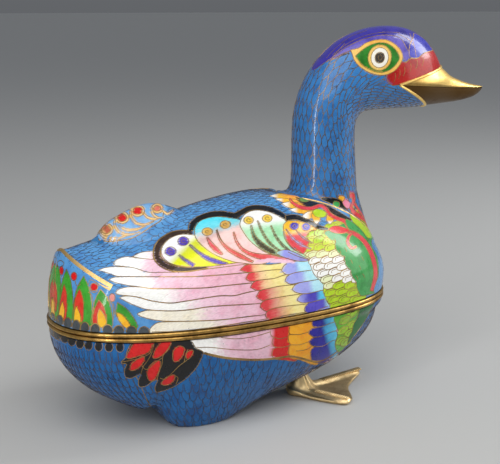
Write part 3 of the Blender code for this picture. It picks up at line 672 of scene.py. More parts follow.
# %% Yellow and purple scallop
lay_cell(TOP, ((194.6, 235), (194.6, 235), (182.2, 234.4), (172.2, 237.2), (164.4, 243.3), (161.2, 251.1),
               (164.4, 258.9), (173.3, 264.4), (190, 266.8), (212.2, 266.2), (228, 264), (240, 262.4),
               (240, 262.4), (227.8, 260), (212.2, 253.3), (202.2, 245.6), (196.7, 239)),
         ((0, WHITE), (0.34, WHITE), (0.5, LEMON), (1, LEMON)), ((168, 240), (198, 268)))
lay_cell(TOP, ((194.6, 236), (204, 244.6), (214, 252.4), (228, 259.6), (238, 262), (222, 260.6), (206, 254),
               (195, 245), (191, 239)), ((0, WHITE), (0.2, LEMON), (1, LEMON)), ((192, 236), (215, 256)),
         wire=0)
for x, y in ((183.3, 241.2), (170.6, 251.3)):
    lay_dot(TOP, x, y, 11, 9, PURPLE)
    lay_wire(TOP, ((x + 1.6, y - 0.4), (x, y - 1.8), (x - 2, y - 0.4), (x - 1, y + 1.6), (x + 2.4, y + 1.4)))
lay_stroke(TOP, ((189.6, 244.6), (197, 251.4), (207, 258), (218, 262), (228, 263.4)),
           (1.4, 2.6, 4.4, 4.6, 0.8), PURPLE)
lay_stroke(TOP, ((179, 255), (185, 260), (194, 265.8)), (1, 3.2, 4.4), PURPLE)

# %% Turquoise and pink scallop
lay_cell(TOP, ((194.4, 231), (196.7, 224.4), (203.3, 219.5), (215.6, 216.8), (230, 217.9), (242, 221),
               (245, 232), (252, 242), (264, 251.5), (278, 257), (262, 264), (240, 262.8), (227.8, 260),
               (212.2, 253.3), (202.2, 245.6), (196.4, 239)),
         ((0, TURQUOISE), (0.22, (120, 222, 236)), (0.36, (250, 208, 200)), (1, (250, 206, 204))),
         ((214, 217), (226, 262)), grit=0.5)
for x, y in ((207.3, 231.7), (225.4, 224.6)):
    lay_dot(TOP, x, y, 10.4, 8, (226, 176, 84))
    lay_wire(TOP, ((x + 1.6, y - 0.2), (x - 0.4, y - 1.6), (x - 2, y + 0.4), (x + 1, y + 1.6)))
lay_wire(TOP, ((217, 229), (221, 239), (230, 249.5), (244, 257), (254, 261.4)))
lay_stroke(TOP, ((207, 237), (211, 244), (217, 250.4), (222.6, 254.4)), (0.8, 4, 4.8, 1.4), SOFT_RED)
lay_stroke(TOP, ((216.6, 230), (220, 240), (229, 249.6), (241, 256.4), (253, 262)), (0.8, 1.6, 4, 4.4, 1.6),
           (226, 96, 86))
lay_stroke(TOP, ((233.6, 232), (236.6, 241.5), (243.4, 250), (255, 255.4), (270, 257.6), (286, 258.6),
                 (297, 260)),
           (1, 2.2, 3.4, 5, 6.4, 6, 2),
           ((0, (224, 84, 76)), (0.5, (232, 92, 92)), (1, ROSE)), ((234, 240), (297, 258)))
lay_stroke(TOP, ((256, 261.4), (268, 260.4), (280, 261), (296, 262.4)), (2, 4, 4, 1), PINK, wire=0)

# %% Green and white scallop
lay_cell(TOP, ((240, 223), (243.3, 216), (250, 211.5), (259, 210.3), (271, 212.6), (281, 217.5),
               (286, 221.6), (283.6, 231), (285.4, 240), (293, 249), (306, 256), (300, 259), (278, 256.4),
               (263.3, 250.8), (250, 240.8), (241.4, 228.6)),
         ((0, WHITE), (0.24, WHITE), (0.4, MINT), (1, MINT)), ((262, 210), (268, 256)), grit=0.2)
lay_stroke(TOP, ((251, 225), (254, 236), (261, 244.6), (271, 251), (282, 255.6)), (0.8, 3, 5.6, 5, 1), OLIVE)
lay_stroke(TOP, ((257.6, 220.6), (262.4, 232), (270, 243.4), (281, 251.6)), (0.8, 1.8, 2.4, 1), OLIVE)
lay_stroke(TOP, ((271, 225.6), (275.6, 236), (282.4, 245), (292, 252.6)), (0.8, 1.8, 2.4, 1), OLIVE)
for x, y in ((248.6, 220.2), (267.2, 218.4)):
    lay_dot(TOP, x, y, 9.6, 7.6, (246, 206, 70))
    lay_wire(TOP, ((x + 1.8, y), (x - 0.2, y - 1.8), (x - 2, y + 0.2), (x + 0.6, y + 1.8),
                   (x + 2.8, y + 0.8)))

# %% Orange and red scallop, and the point where all the stripes meet
lay_cell(TOP, ((283.4, 226), (286, 222), (290, 220.9), (299, 221.3), (308, 224), (317, 229.4), (310.4, 231),
               (306.6, 236), (309, 241), (307.6, 247), (303.6, 253.4), (296, 250.6), (288.6, 243.4),
               (284.6, 235)),
         ((0, YELLOW), (0.3, YELLOW), (0.44, SOFT_RED), (1, SOFT_RED)), ((296, 221), (300, 254)))
for x, y in ((294.4, 226.1), (306, 226.8)):
    lay_dot(TOP, x, y, 9, 7.6, (50, 42, 178))
    lay_wire(TOP, ((x + 1.6, y), (x, y - 1.6), (x - 1.8, y + 0.2), (x + 0.6, y + 1.6)))
lay_stroke(TOP, ((286, 229), (292.6, 238), (301, 244.6), (311, 249)), (0.6, 1.6, 2, 0.8), LAVENDER)
lay_stroke(TOP, ((296, 230), (302.6, 237), (312, 243)), (0.6, 2, 0.6), (120, 130, 170))
lay_cell(TOP, ((276, 253), (285, 249.6), (294, 252), (303, 256.4), (309.6, 260), (300, 261.4), (286, 258)),
         ((0, MINT), (0.3, LAVENDER), (1, (150, 150, 214))), ((276, 252), (300, 258)))
lay_wire(TOP, ((288, 252), (298, 256.4), (309, 259.8)))
lay_wire(TOP, ((294, 247), (303, 254), (311, 258.6)))
print("scallops laid")

# %% [markdown]
# ## Ribbon, petals and scrolls by the neck
# A red ribbon edges the shoulder, and yellow petals and a red scroll lie round the foot of the neck. The
# pattern goes on above the joint, where its cells are laid on the neck's own drawing.

# %% Ribbon and petals


def on_neck(spots):
    """Spots of the sheet as the neck's own side-on places, for cells that cross the joint."""
    found = []
    for spot in spots:
        hit = head["tree"].ray_cast(*sheet_ray(spot))[0]
        if hit is not None:
            found.append((hit.x, hit.z))
    return found


for spots in (((269, 196), (269, 196), (279, 193.6), (294, 195), (300, 199), (284, 199.4)),
              ((274.6, 198.6), (274.6, 198.6), (284, 198.2), (298, 200), (300, 204), (285, 203)),
              ((281.4, 203.4), (281.4, 203.4), (291, 201.6), (304, 204.6), (304, 208.4), (290, 208)),
              ((289, 209.6), (289, 209.6), (299, 207.4), (313, 210), (312, 213.6), (298, 213.2)),
              ((301.6, 216.4), (301.6, 216.4), (308, 211.6), (318, 211.6), (316, 216), (308, 219))):
    lay_cell(TOP, spots, ((0, WHITE), (0.2, WHITE), (0.42, YELLOW), (1, (250, 170, 60))),
             (spots[0], (spots[0][0] + 22, spots[0][1] + 2)))
for x, y, lean in ((316.4, 218.6, -1.2), (330, 218.6, 1.6)):
    lay_cell(TOP, ((x + lean - 3.6, y - 5), (x + lean + 3.6, y - 5), (x + 4, y + 1), (x, y + 5.4),
                   (x - 3.6, y + 1)),
             ((0, AMBER), (0.6, YELLOW), (0.85, WHITE), (1, WHITE)), ((x, y - 5), (x, y + 5.4)))
lay_cell(TOP, ((312.6, 212), (315, 209.4), (321, 209.2), (326.4, 213), (325, 216.6), (320, 217.6),
               (315, 216.2)), LIME)
lay_cell(TOP, ((296, 197.6), (304, 200), (318, 202.4), (330, 206.6), (345, 215.4), (352, 220), (344, 220),
               (336, 216.6), (326, 210), (318, 207), (306, 206.6)), BLACK)
lay_dot(TOP, 304.6, 199.4, 11, 5.4, (104, 140, 62))
scroll = ((289.6, 198.6), (293, 203), (301, 207.4), (311, 208.4), (320, 205.8), (325.4, 208.6), (330, 214.4),
          (337.4, 218.6), (345, 221.6), (349.4, 228.8))
lay_stroke(TOP, scroll, (1.5, 3.4, 3.6, 3.6, 3.6, 3.6, 3.8, 3.8), SOFT_RED)
lay_cell(TOP, ((346, 219), (353, 222.6), (362, 230), (368, 239), (365, 239), (357, 232), (349, 229),
               (346, 224)), EMERALD)
lay_cell(TOP, ((350, 215), (357, 214), (364, 218), (369, 226), (372, 236), (368, 238), (361, 229.4),
               (353, 221.8)), LIME)
lay_stroke(TOP, ((362, 213), (369, 220), (374, 231), (376, 240)), (1.6, 2.6, 2.4, 1.6), AMBER)
lay_stroke(TOP, ((345.4, 231), (354, 233.6), (362.4, 239.4), (369, 248.6), (373.8, 261), (375.6, 275),
                 (371.6, 291)),
           (3.4, 4.2, 4.6, 4.6, 4.4, 4, 3), SOFT_RED)
lay_stroke(TOP, ((352.6, 233), (348.6, 236.8), (347.8, 242.6), (351.4, 247.8), (356.4, 246.6)),
           (2, 3, 3, 2.8, 2), SOFT_RED)
lay_cell(TOP, ((328, 229.4), (328, 229.4), (333.4, 226), (341, 226.6), (349.4, 230.4), (343.4, 233.4),
               (334, 232.8)),
         (228, 48, 52))
lay_cell(TOP, ((378, 262), (378.4, 275), (374.6, 293), (396, 290), (396, 236), (374, 238), (372, 246),
               (376, 254)),
         GROUND_BLUE, wire=0.3)
lid["plain"][lid["points"][:, 0] > 84] = True

for spots, shade in (
    (((322, 205), (322, 199.6), (334, 198), (345, 203), (350, 212), (349, 219), (338, 213)), BLACK),
    (((352, 206), (356, 211), (360, 220), (362, 230), (357, 225), (352.6, 218)), LIME),
    (((344, 199), (349.6, 202), (351.6, 207), (347, 208.4), (343, 204)), (240, 130, 160)),
    (((337.6, 197.6), (341.6, 195), (345, 197.6), (342.6, 201.4)), AMBER),
    (((357, 208), (360.4, 216), (363, 227), (363.6, 233), (361, 226), (358, 216)), AMBER),
):
    places = on_neck(spots)
    if len(places) > 2:
        lay_cell((head,), places, shade)
for spots, wide in ((((349.4, 196), (353.6, 195.6), (353.2, 203), (352.6, 211), (350.4, 218.4)), 2.6),
                    (((354, 203), (359, 210), (364.4, 219), (368.4, 229)), 1.6)):
    places = on_neck(spots)
    if len(places) > 2:
        lay_stroke((head,), places, (wide, wide), SOFT_RED)
green_dot = on_neck(((336.4, 204.2),))
if green_dot:
    lay_dot((head,), *green_dot[0], 4, 3, EMERALD)
print("ribbon and petals laid")

# %% [markdown]
# ## Curled feathers and tail
# The boss on the back has four red dots in gold rings, with long curled tails. The tail panel has a
# row of upright leaves, green outside, then red, then yellow, over a row of dark half discs.

# %% Curls
GOLD = (230, 188, 122)
lay_cell(TOP, ((96.6, 238), (98.3, 227.8), (104.7, 213.6), (121.3, 203), (140, 198.6), (154.2, 199),
               (163, 203.6), (167, 210), (163, 220), (152.2, 226), (134.4, 237), (120, 240.4),
               (106.7, 241.2)), (112, 164, 214), wire=0)
lay_wire(TOP, ((96.6, 238), (98.3, 227.8), (106.7, 215.6), (123.3, 205), (140, 200.6), (152.2, 201),
               (161, 205.6), (163.4, 212), (161, 220), (152.2, 226), (134.4, 237), (120, 240.4),
               (106.7, 241.2)), 0.6, closed=True)
for x, y, wide, tall, shade in ((106, 229.6, 9.4, 8.2, (186, 96, 70)), (122.2, 217.6, 8.8, 7.8, RED),
                                (137.6, 210.8, 9, 7.4, RED), (157.2, 208.4, 7, 5.6, (222, 120, 104))):
    lay_dot(TOP, x, y, wide, tall, shade, ring=GOLD)
for spots in (((99.6, 229), (101.4, 235), (109, 238.4), (120, 238), (129, 234.4)),
              ((115.4, 218), (114.6, 224.6), (119, 231.6), (128, 234.6), (140, 232)),
              ((118.6, 225.6), (126, 229.6), (136, 229.6), (146, 225.4)),
              ((130.6, 210), (131, 217), (136, 223), (145, 224.6), (154, 221)),
              ((143, 213), (148, 217.4), (154, 219), (161.6, 217.4)),
              ((151.6, 207), (152.6, 213), (157.6, 217.6), (164, 217)),
              ((162, 209), (167, 214), (174, 209.6))):
    lay_stroke(TOP, spots, (1.2, 2.5, 2.1, 0.5), GOLD, wire=0.3)

# %% Leaves of the tail
tail_leaves = (
    (((57.5, 264.4), (57.5, 264.4), (60.2, 276), (60.6, 300), (57.6, 318), (50, 314), (51.6, 288),
      (54.4, 272)),
     ((54.8, 280), (54.8, 280), (57, 292), (56.4, 310), (51.4, 312), (51.6, 296)),
     ((53, 297), (53, 297), (55, 306), (54.4, 316), (51.4, 314), (51.6, 304))),
    (((66.5, 269.2), (66.5, 269.2), (70.6, 280), (73, 300), (71.4, 321), (59.4, 318), (60.2, 292),
      (63.2, 278)),
     ((64.1, 284), (64.1, 284), (66.8, 296), (65.8, 319), (59.6, 316), (60.4, 300)),
     ((62.6, 301), (62.6, 301), (64.6, 310), (63, 320), (58.8, 318), (60, 308))),
    (((83.8, 276), (83.8, 276), (89.2, 289), (92, 308), (91.2, 325.6), (73.8, 322.6), (73.8, 303),
      (77.4, 287)),
     ((79.4, 288.6), (79.4, 288.6), (83.2, 300), (82.6, 321), (74.6, 319), (74.6, 301)),
     ((76.4, 306), (76.4, 306), (80.4, 315), (80, 323.6), (74.2, 322.6), (74.4, 312))),
    (((100.6, 289.2), (100.6, 289.2), (107.8, 299), (111.8, 314), (111.2, 327), (92.4, 325), (92.6, 312),
      (95.4, 299)),
     ((98.8, 300), (98.8, 300), (103.6, 306.6), (106.8, 320), (104, 327), (93.4, 324), (93.6, 312)),
     ((99.4, 308.6), (99.4, 308.6), (104.2, 315), (106.6, 322.6), (102.6, 327), (98.6, 326), (97.4, 316))),
    (((117.5, 302.3), (117.5, 302.3), (127.4, 309.6), (135.6, 321), (137, 328), (126, 328), (116.6, 316),
      (116.2, 309)),
     None,
     ((116.4, 312.4), (116.4, 312.4), (122.4, 314.8), (130, 324), (129.4, 328), (125.4, 328), (118.6, 320))),
)
for leaf, flame, heart in tail_leaves:
    lay_cell(TOP, leaf, LEAF)
    if flame:
        lay_cell(TOP, flame, (212, 50, 30))
    lay_cell(TOP, heart, YELLOW)
for x, y, wide, tall in ((55, 260.8, 2.6, 8), (61.5, 270.6, 4, 9), (74, 276.4, 6, 8.4), (94, 287, 7.6, 7.6)):
    lay_dot(TOP, x, y, wide, tall, RED)
lay_dot(TOP, 112.2, 297.6, 6, 8, (236, 150, 140))
for spots in (((75, 281), (77, 286), (80.6, 284)),
              ((61.6, 276), (63, 281)),
              ((88.6, 285), (90, 280), (95, 281.6), (99.6, 286)),
              ((88, 292), (92, 296), (94, 310)),
              ((108, 296), (107.4, 300), (112, 304), (114, 316)),
              ((113, 303), (114.6, 310), (112.6, 322)),
              ((89.6, 286.6), (91, 291), (94.4, 292.6), (98, 290.4))):
    lay_wire(TOP, spots)
half_discs = ((51.9, 318.6, 6.4), (59.4, 321, 7.6), (67.8, 323.6, 8), (76.3, 326, 8.4), (84.8, 328, 8.8),
              (95.3, 329.4, 9.6), (107.5, 330.6, 10.4), (118.8, 331.4, 11), (131.5, 332, 11),
              (144, 332.6, 11))
for x, y, wide in half_discs:
    lay_dot(TOP, x, y, wide, 12, SLATE, wire=0.55)
print(len(tail_leaves), "leaves and", len(half_discs), "half discs on each side")

# %% [markdown]
# ## The bowl's pattern
# The wing goes on below the rims, inside a broad brass edge. Behind it a fan of black feathers with red
# hearts hangs over the thigh, and small black discs hang under the tail.

# %% Wing, fan and discs on the bowl
wing_edge = ((186, 343), (190, 346.4), (198, 350.4), (206, 353.6), (224, 357.6), (242, 359.4), (258, 359.8),
             (276, 358.4), (290, 356.4), (300, 358), (313, 361.4), (322, 360.6), (330, 356.6), (338, 351),
             (345, 345.4), (356, 334), (364, 322), (370, 310), (374, 302))
wing_field = tuple(wing_edge) + ((380, 290), (340, 296), (260, 318), (190, 326), (186, 330))
lay_cell(UNDER, wing_field, ((0, WHITE), (0.17, WHITE), (0.26, (234, 190, 206)), (0.5, (232, 182, 200)),
                             (1, PINK)),
         ((187, 340), (340, 330)), wire=0, grit=1.0)
for spots in (((187.8, 343.8), (194, 339.4), (204, 337), (216, 336.8), (236, 338.8), (255, 336.3),
               (273, 331)),
              ((189, 345.4), (198, 347.4), (211, 347.4), (236, 349.8), (257, 349.4), (270, 345))):
    lay_wire(UNDER, spots)
for spots in (((270.4, 334), (270.4, 334), (273, 325), (296, 320), (296, 335), (281, 338.6), (273, 337)),
              ((271.8, 342.6), (271.8, 342.6), (274, 337.6), (281, 338.6), (297, 334.6), (297, 345),
               (284, 347), (275, 347)),
              ((271.6, 353), (271.6, 353), (275, 347.8), (284, 347), (297, 345), (297, 360), (284, 360),
               (274, 358.6))):
    lay_cell(UNDER, spots, RED)
for spots in (((289.6, 328), (293, 322), (318, 316), (318, 330), (300, 334.4), (290, 334)),
              ((288, 337.4), (290, 334.6), (300, 334.4), (318, 330), (318, 341), (300, 344.6), (291, 344.8)),
              ((289, 347.6), (291, 345), (300, 344.6), (318, 341), (318, 364), (300, 360), (290, 357.4))):
    lay_cell(UNDER, spots, AMBER)
lay_wire(UNDER, ((296, 351), (306, 349.6), (312, 346)))
for spots in (((312, 324), (312, 324), (314, 318), (336, 312), (336, 322), (322, 326.4), (314, 327)),
              ((309, 333), (309, 333), (312, 328.4), (322, 326.4), (336, 322), (336, 331), (322, 336),
               (313, 336.8)),
              ((309.4, 342.4), (309.4, 342.4), (312.4, 338), (322, 336), (336, 331), (336, 340.6),
               (323, 346), (313, 346)),
              ((310.6, 352.6), (310.6, 352.6), (313.4, 347.4), (323, 346), (336, 340.6), (336, 360),
               (318, 363), (312, 361))):
    lay_cell(UNDER, spots, ((0, NAVY), (0.55, NAVY), (0.72, (66, 164, 212)), (1, (96, 196, 226))),
             ((spots[0][0], 340), (spots[0][0] + 26, 334)))
lay_cell(UNDER, ((334, 318), (340, 314), (364, 304), (362, 318), (354, 334), (344, 348), (338, 352),
                 (335, 344), (338, 332)), (96, 178, 40))
for x, y in ((357, 308), (352, 314), (345, 320), (352, 324.6), (343, 330.6), (349.6, 333), (341, 340.6),
             (346, 342)):
    lay_cell(UNDER, ((x - 5.6, y + 3.6), (x - 4, y - 1), (x + 1, y - 4.2), (x + 5.4, y - 4),
                     (x + 4, y + 0.6), (x - 1, y + 4)), (150, 196, 40))
    lay_wire(UNDER, ((x - 2.4, y + 1.6), (x - 1, y - 1.2), (x + 2.4, y - 2.4)))
lay_cell(UNDER, ((364, 302), (359, 311), (357, 318), (353.6, 324), (352, 331), (349, 337), (347.6, 344),
                 (350, 341), (358, 331), (366, 319), (374, 304), (378, 296), (370, 297)), FOREST)
lay_wire(UNDER, wing_edge[:14], 1.5)
lay_wire(UNDER, ((136.2, 376.4), (138.6, 381), (141.8, 388), (147.4, 401), (153, 409)), 0.6)
fan = ((121.3, 361.6), (121.3, 361.6), (126, 357), (127.6, 350), (134, 342), (152, 338), (186, 338),
       (196, 348), (203, 352), (201, 359), (196, 368), (187, 377.6), (176, 385.4), (170, 388.4),
       (162, 391.2), (156.4, 392), (155, 387), (157.6, 380), (152, 381.6), (146, 386), (139.4, 386.6),
       (138.6, 380), (141, 374), (136, 376), (130, 378.4), (125.2, 376.4), (124.6, 370), (126.6, 364),
       (122, 363.4))
lay_cell(UNDER, fan, BLACK)
for spots in (((126.2, 357), (130, 349.6), (135.4, 342.6), (153, 341), (149, 351.6), (139, 356),
               (130, 358.4)),
              ((130, 369.6), (131.4, 363.8), (138, 358.6), (144, 356.2), (143.8, 361.4), (139, 367.4),
               (132.6, 370.6)),
              ((153, 357), (155.6, 349), (162, 342.4), (170.6, 341), (168.6, 349), (162, 355.4),
               (155.6, 358.6)),
              ((147, 375.4), (149, 367), (155, 361.4), (160.6, 361.6), (159, 371), (155, 378.6), (150, 381)),
              ((172.6, 357), (173.6, 350.4), (178.6, 346.2), (184.4, 348), (183, 355), (178.6, 360.6),
               (174, 361.4)),
              ((185.8, 355.6), (188, 351.4), (193.4, 350.6), (191.4, 356), (187.6, 359.4)),
              ((161.6, 382.6), (166, 377.6), (174.4, 374.8), (173.6, 380.6), (168.6, 384.6), (163, 385))):
    lay_cell(UNDER, spots, RED)
for spots in (((121.6, 362), (130, 360.4), (140, 358), (150, 353), (152, 344)),
              ((141, 374), (143, 367), (148, 360), (152, 352), (154, 343)),
              ((142, 366), (147, 369.4), (156, 362), (162, 358)),
              ((157, 380), (159, 372), (162, 364), (163, 356), (168, 349), (172, 342)),
              ((160, 378), (165, 379), (172, 373), (179, 366), (187, 360)),
              ((184, 362), (186, 354), (188, 349)),
              ((174, 375), (178, 378), (176, 384))):
    lay_wire(UNDER, spots)
for x, y in ((54, 331), (57.8, 334.4), (65, 338), (72, 341), (80, 343.6), (88.6, 345.2), (98.8, 346.4),
             (109, 347), (120, 347.2)):
    lay_dot(UNDER, x, y, 8, 10, BLACK, wire=0.3)
print("bowl cells laid")

# %% [markdown]
# ## The head
# The head's cells are drawn straight from the side, because the cap meets over the top. The cap is violet
# with a paler band, the eye is a green almond with a yellow rim, and a red patch joins it to the beak.

# %% Cap, eye and patch
FACE = (head,)
FACE_SHEET_OUT = 14.0


def on_face(spots):
    """Moves places drawn on an upright sheet beside the head on to its round cheek, as the eye sees them."""
    found = []
    for x, z in spots:
        way = Vector((x, -FACE_SHEET_OUT, z)) - Vector(sheet_eye)
        hit = head["tree"].ray_cast(Vector(sheet_eye), way.normalized())[0]
        found.append((hit.x, hit.z) if hit is not None and hit.y < 2 else (x, z))
    return found


cap_rear = ((20, 113), (46, 112.4), (52.6, 111.6), (53.6, 112.5), (54.8, 113.7), (57, 115.7), (59.6, 117.2),
            (62.5, 118.4), (66.4, 120.4))
cap_front = ((67.4, 121.6), (75, 122), (84, 122), (94, 120), (99, 118), (101.5, 116.4), (105.4, 117.7),
             (109.8, 117.8), (113.2, 120.1), (118.9, 121.8), (124, 123), (132, 124), (140, 124), (140, 150),
             (20, 150))
lay_cell(FACE, list(cap_rear) + on_face(cap_front), (50, 42, 146))
lay_cell(FACE, on_face(((52, 117), (57, 120), (63, 123.6), (70, 126.4), (78, 128.6), (88, 129.6), (97, 128),
                        (101.5, 123), (104, 119), (101.6, 116), (98, 119), (88, 123), (72, 123), (62, 121))),
         (92, 80, 176))
lay_cell(FACE, on_face(((104, 118.4), (103.6, 124), (106, 129), (114, 130), (121, 127), (124, 123),
                        (118.6, 121.6), (113, 120), (109.6, 117.8))), (50, 52, 178))
for spots in (((56, 120.6), (64, 125.4), (74, 129.2), (86, 131), (97, 130.6)),
              ((52, 119), (58, 124), (66, 129), (76, 132)), ((54, 116), (57, 120.4), (63, 126)),
              ((108, 118.4), (106.6, 124), (109, 130)), ((96, 130), (103, 127), (106, 124))):
    lay_wire(FACE, on_face(spots), 0.32)
patch_edge = ((89.3, 108.4), (91, 112), (95, 114.6), (98.9, 116.2), (101.6, 115.6), (104.6, 117.4),
              (109.3, 117.6), (113.2, 120), (119, 121.6), (126, 122.4), (133, 121), (140, 120), (140, 104.8),
              (102, 104.8), (96.2, 104.2), (93.2, 104.2), (90.6, 106))
lay_cell(FACE, on_face(patch_edge), ((0, (164, 20, 14)), (0.6, (178, 22, 16)), (1, (196, 40, 40))),
         ((89, 110), (132, 116)))
for x, z in ((101, 111.6), (105, 113.4), (98, 110.4), (109, 115), (95, 108.6), (113, 116.4)):
    lay_wire(FACE, on_face(((x - 1, z - 3), (x, z - 0.6), (x - 0.4, z + 1.8))), 0.3)
almond = ((66.6, 122.6), (66.6, 122.6), (71.7, 123.6), (75.9, 125.9), (82.1, 127.3), (88.4, 127.2),
          (93.8, 125.1), (97.8, 121.8), (99.4, 118.4), (97.8, 114.8), (94.4, 111.6), (89.1, 109.7),
          (83.1, 109.8), (77.1, 111.6), (71.8, 114.7), (68.8, 117.9))
lay_cell(FACE, on_face(almond), (240, 186, 84))
lay_cell(FACE, on_face(((69.6, 119.6), (69.6, 119.6), (73.6, 122.4), (78, 124.6), (83, 125.8), (88.2, 125.6),
                        (92.6, 123.8), (96, 120.8), (97.4, 118.2), (95.8, 115.4), (92.6, 112.8),
                        (88.2, 111.2), (83.2, 111.3), (78, 113), (73.2, 115.6))), (40, 122, 30))
EYE_X, EYE_Z = 84.7, 118.4
eye_turns = np.linspace(0, 2 * math.pi, 24, endpoint=False)
for wide, tall, shade in ((14.8, 12.9, (236, 190, 96)), (11, 10.1, (240, 236, 222)), (6, 5.4, (60, 54, 48))):
    circle = np.stack([EYE_X + wide / 2 * np.cos(eye_turns), EYE_Z + tall / 2 * np.sin(eye_turns)], -1)
    lay_cell(FACE, on_face(circle), shade, curved=False)
lay_wire(FACE, on_face(((84.9, 120), (86.2, 118.5), (84.9, 117), (83.6, 118.5))), 0.28, closed=True)
print("head cells laid")

# %% [markdown]
# ## Scale wires
# What is left blue is filled with small scales: hooks that lie along the back, a net of long cells on the
# neck, and hanging scales on chest and bowl. Each is set by hand, so none is quite like the next. The shifts
# come from one seeded list, so they are the same each time.

# %% Scales on the plain ground
HOOK = np.array(((0.5, 0.42), (0.1, 0.5), (-0.28, 0.42), (-0.48, 0.16), (-0.5, -0.12), (-0.3, -0.4),
                 (0.05, -0.46)))
SCALE = np.array(((-0.5, 0.55), (-0.49, 0.15), (-0.4, -0.2), (-0.2, -0.45), (0, -0.52), (0.2, -0.45),
                  (0.4, -0.2), (0.49, 0.15), (0.5, 0.55)))
LONG_CELL = np.array(((0.06, 0.58), (-0.24, 0.42), (-0.46, 0.16), (-0.46, -0.16), (-0.24, -0.42), (0, -0.58),
                      (0.24, -0.42), (0.46, -0.16), (0.46, 0.16), (0.24, 0.42), (-0.06, 0.58)))
# More fineness gives a scale's wire more points
SCALE_FINENESS, HOOK_FINENESS, NET_FINENESS = 1.4, 1.6, (5.8, 10)
NET_OVERLAP = 0.76
HOOK_ROWS, HOOK_PITCH, HOOKS_ACROSS = (-84, 52, 3.5), 2.5, 34
HOOK_LENGTH, HOOK_WIDTH = 4.6, 2.0
ABOVE_ALL = 120


def at_index(table, columns, rows, cols):
    """A table's value at a place between its rows and columns; columns run round."""
    grid = table.reshape(-1, columns, 3)
    r = np.clip(rows, 0, len(grid) - 1.001)
    r0, c0 = np.floor(r).astype(int), np.floor(cols).astype(int)
    fr, fc = (r - r0)[:, None], (cols - c0)[:, None]
    a, b = grid[r0, c0 % columns], grid[r0, (c0 + 1) % columns]
    c, d = grid[r0 + 1, c0 % columns], grid[r0 + 1, (c0 + 1) % columns]
    return (a * (1 - fc) + b * fc) * (1 - fr) + (c * (1 - fc) + d * fc) * fr


def scale_rows(skin, shape, long, wide, lengthways, pitch, allowed, wobble):
    """Lays scales in staggered rows over the skin's plain ground; long and wide are in millimetres."""
    columns = skin["columns"]
    grid = skin["points"].reshape(-1, columns, 3)
    column = int(lengthways * columns)
    path = np.concatenate([[0], np.cumsum(np.linalg.norm(np.diff(grid[:, column], axis=0), axis=1))])
    plain = skin["plain"].reshape(-1, columns)
    laid = []
    for k, distance in enumerate(np.arange(long * 0.55, path[-1], long * pitch)):
        r = float(np.interp(distance, path, np.arange(len(path))))
        ring = grid[int(r)]
        count = max(6, 2 * round(np.linalg.norm(np.roll(ring, -1, 0) - ring, axis=1).sum() / wide / 2))
        for j in range(count):
            c = (j + 0.5 * (k % 2) + chance.uniform(-wobble, wobble)) * columns / count
            row, col = min(int(r), len(grid) - 2), int(c) % columns
            if not plain[row, col] or not allowed(grid[row, col]):
                continue
            across = np.linalg.norm(grid[row, (col + 2) % columns] - grid[row, col - 2]) / 4
            along = np.linalg.norm(grid[row + 1, col] - grid[row, col])
            size = 1 + chance.uniform(-wobble, wobble)
            lean = chance.uniform(-wobble, wobble)
            a = shape[:, 0] * wide * size * 1.02
            b = shape[:, 1] * long * size
            a, b = a * math.cos(lean) - b * math.sin(lean), a * math.sin(lean) + b * math.cos(lean)
            line = smooth_line(np.column_stack([a, b]) * SCALE_FINENESS, False) / SCALE_FINENESS
            rows, cols = r + line[:, 1] / along, c + line[:, 0] / across
            if rows.min() < 0 or rows.max() > len(grid) - 1.5:
                continue
            spots = at_index(skin["points"], columns, rows, cols)
            free = plain[np.round(rows).astype(int), np.round(cols).astype(int) % columns]
            laid.append((spots, at_index(skin["normals"], columns, rows, cols), free))
    return laid


def lay_net(skin, around, pitch):
    """A net of long cells with the same number in each row, so that they close up in the bend."""
    columns = skin["columns"]
    grid = skin["points"].reshape(-1, columns, 3)
    plain = skin["plain"].reshape(-1, columns)
    path = np.concatenate([[0], np.cumsum(np.linalg.norm(np.diff(grid, axis=0), axis=-1).mean(1))])
    places = np.interp(np.arange(0.3 * pitch, path[-1], pitch), path, np.arange(len(path)))
    laid = []
    for k in range(1, len(places) - 1):
        reach = (places[k + 1] - places[k - 1]) / 2 / NET_OVERLAP
        for j in range(around):
            size = 1 + chance.uniform(-0.05, 0.05)
            lean = chance.uniform(-0.08, 0.08)
            a = (LONG_CELL[:, 0] + lean * LONG_CELL[:, 1]) * size
            b = LONG_CELL[:, 1] * size
            line = smooth_line(np.column_stack([a, b]) * NET_FINENESS, False) / NET_FINENESS
            middle = j + 0.5 * (k % 2) + chance.uniform(-0.06, 0.06)
            rows = places[k] + line[:, 1] * reach + chance.uniform(-0.04, 0.04) * reach
            cols = (middle + line[:, 0]) * columns / around
            if rows.min() < 0 or rows.max() > len(grid) - 1.5:
                continue
            free = plain[np.round(rows).astype(int), np.round(cols).astype(int) % columns]
            laid.append((at_index(skin["points"], columns, rows, cols),
                         at_index(skin["normals"], columns, rows, cols), free))
    return laid


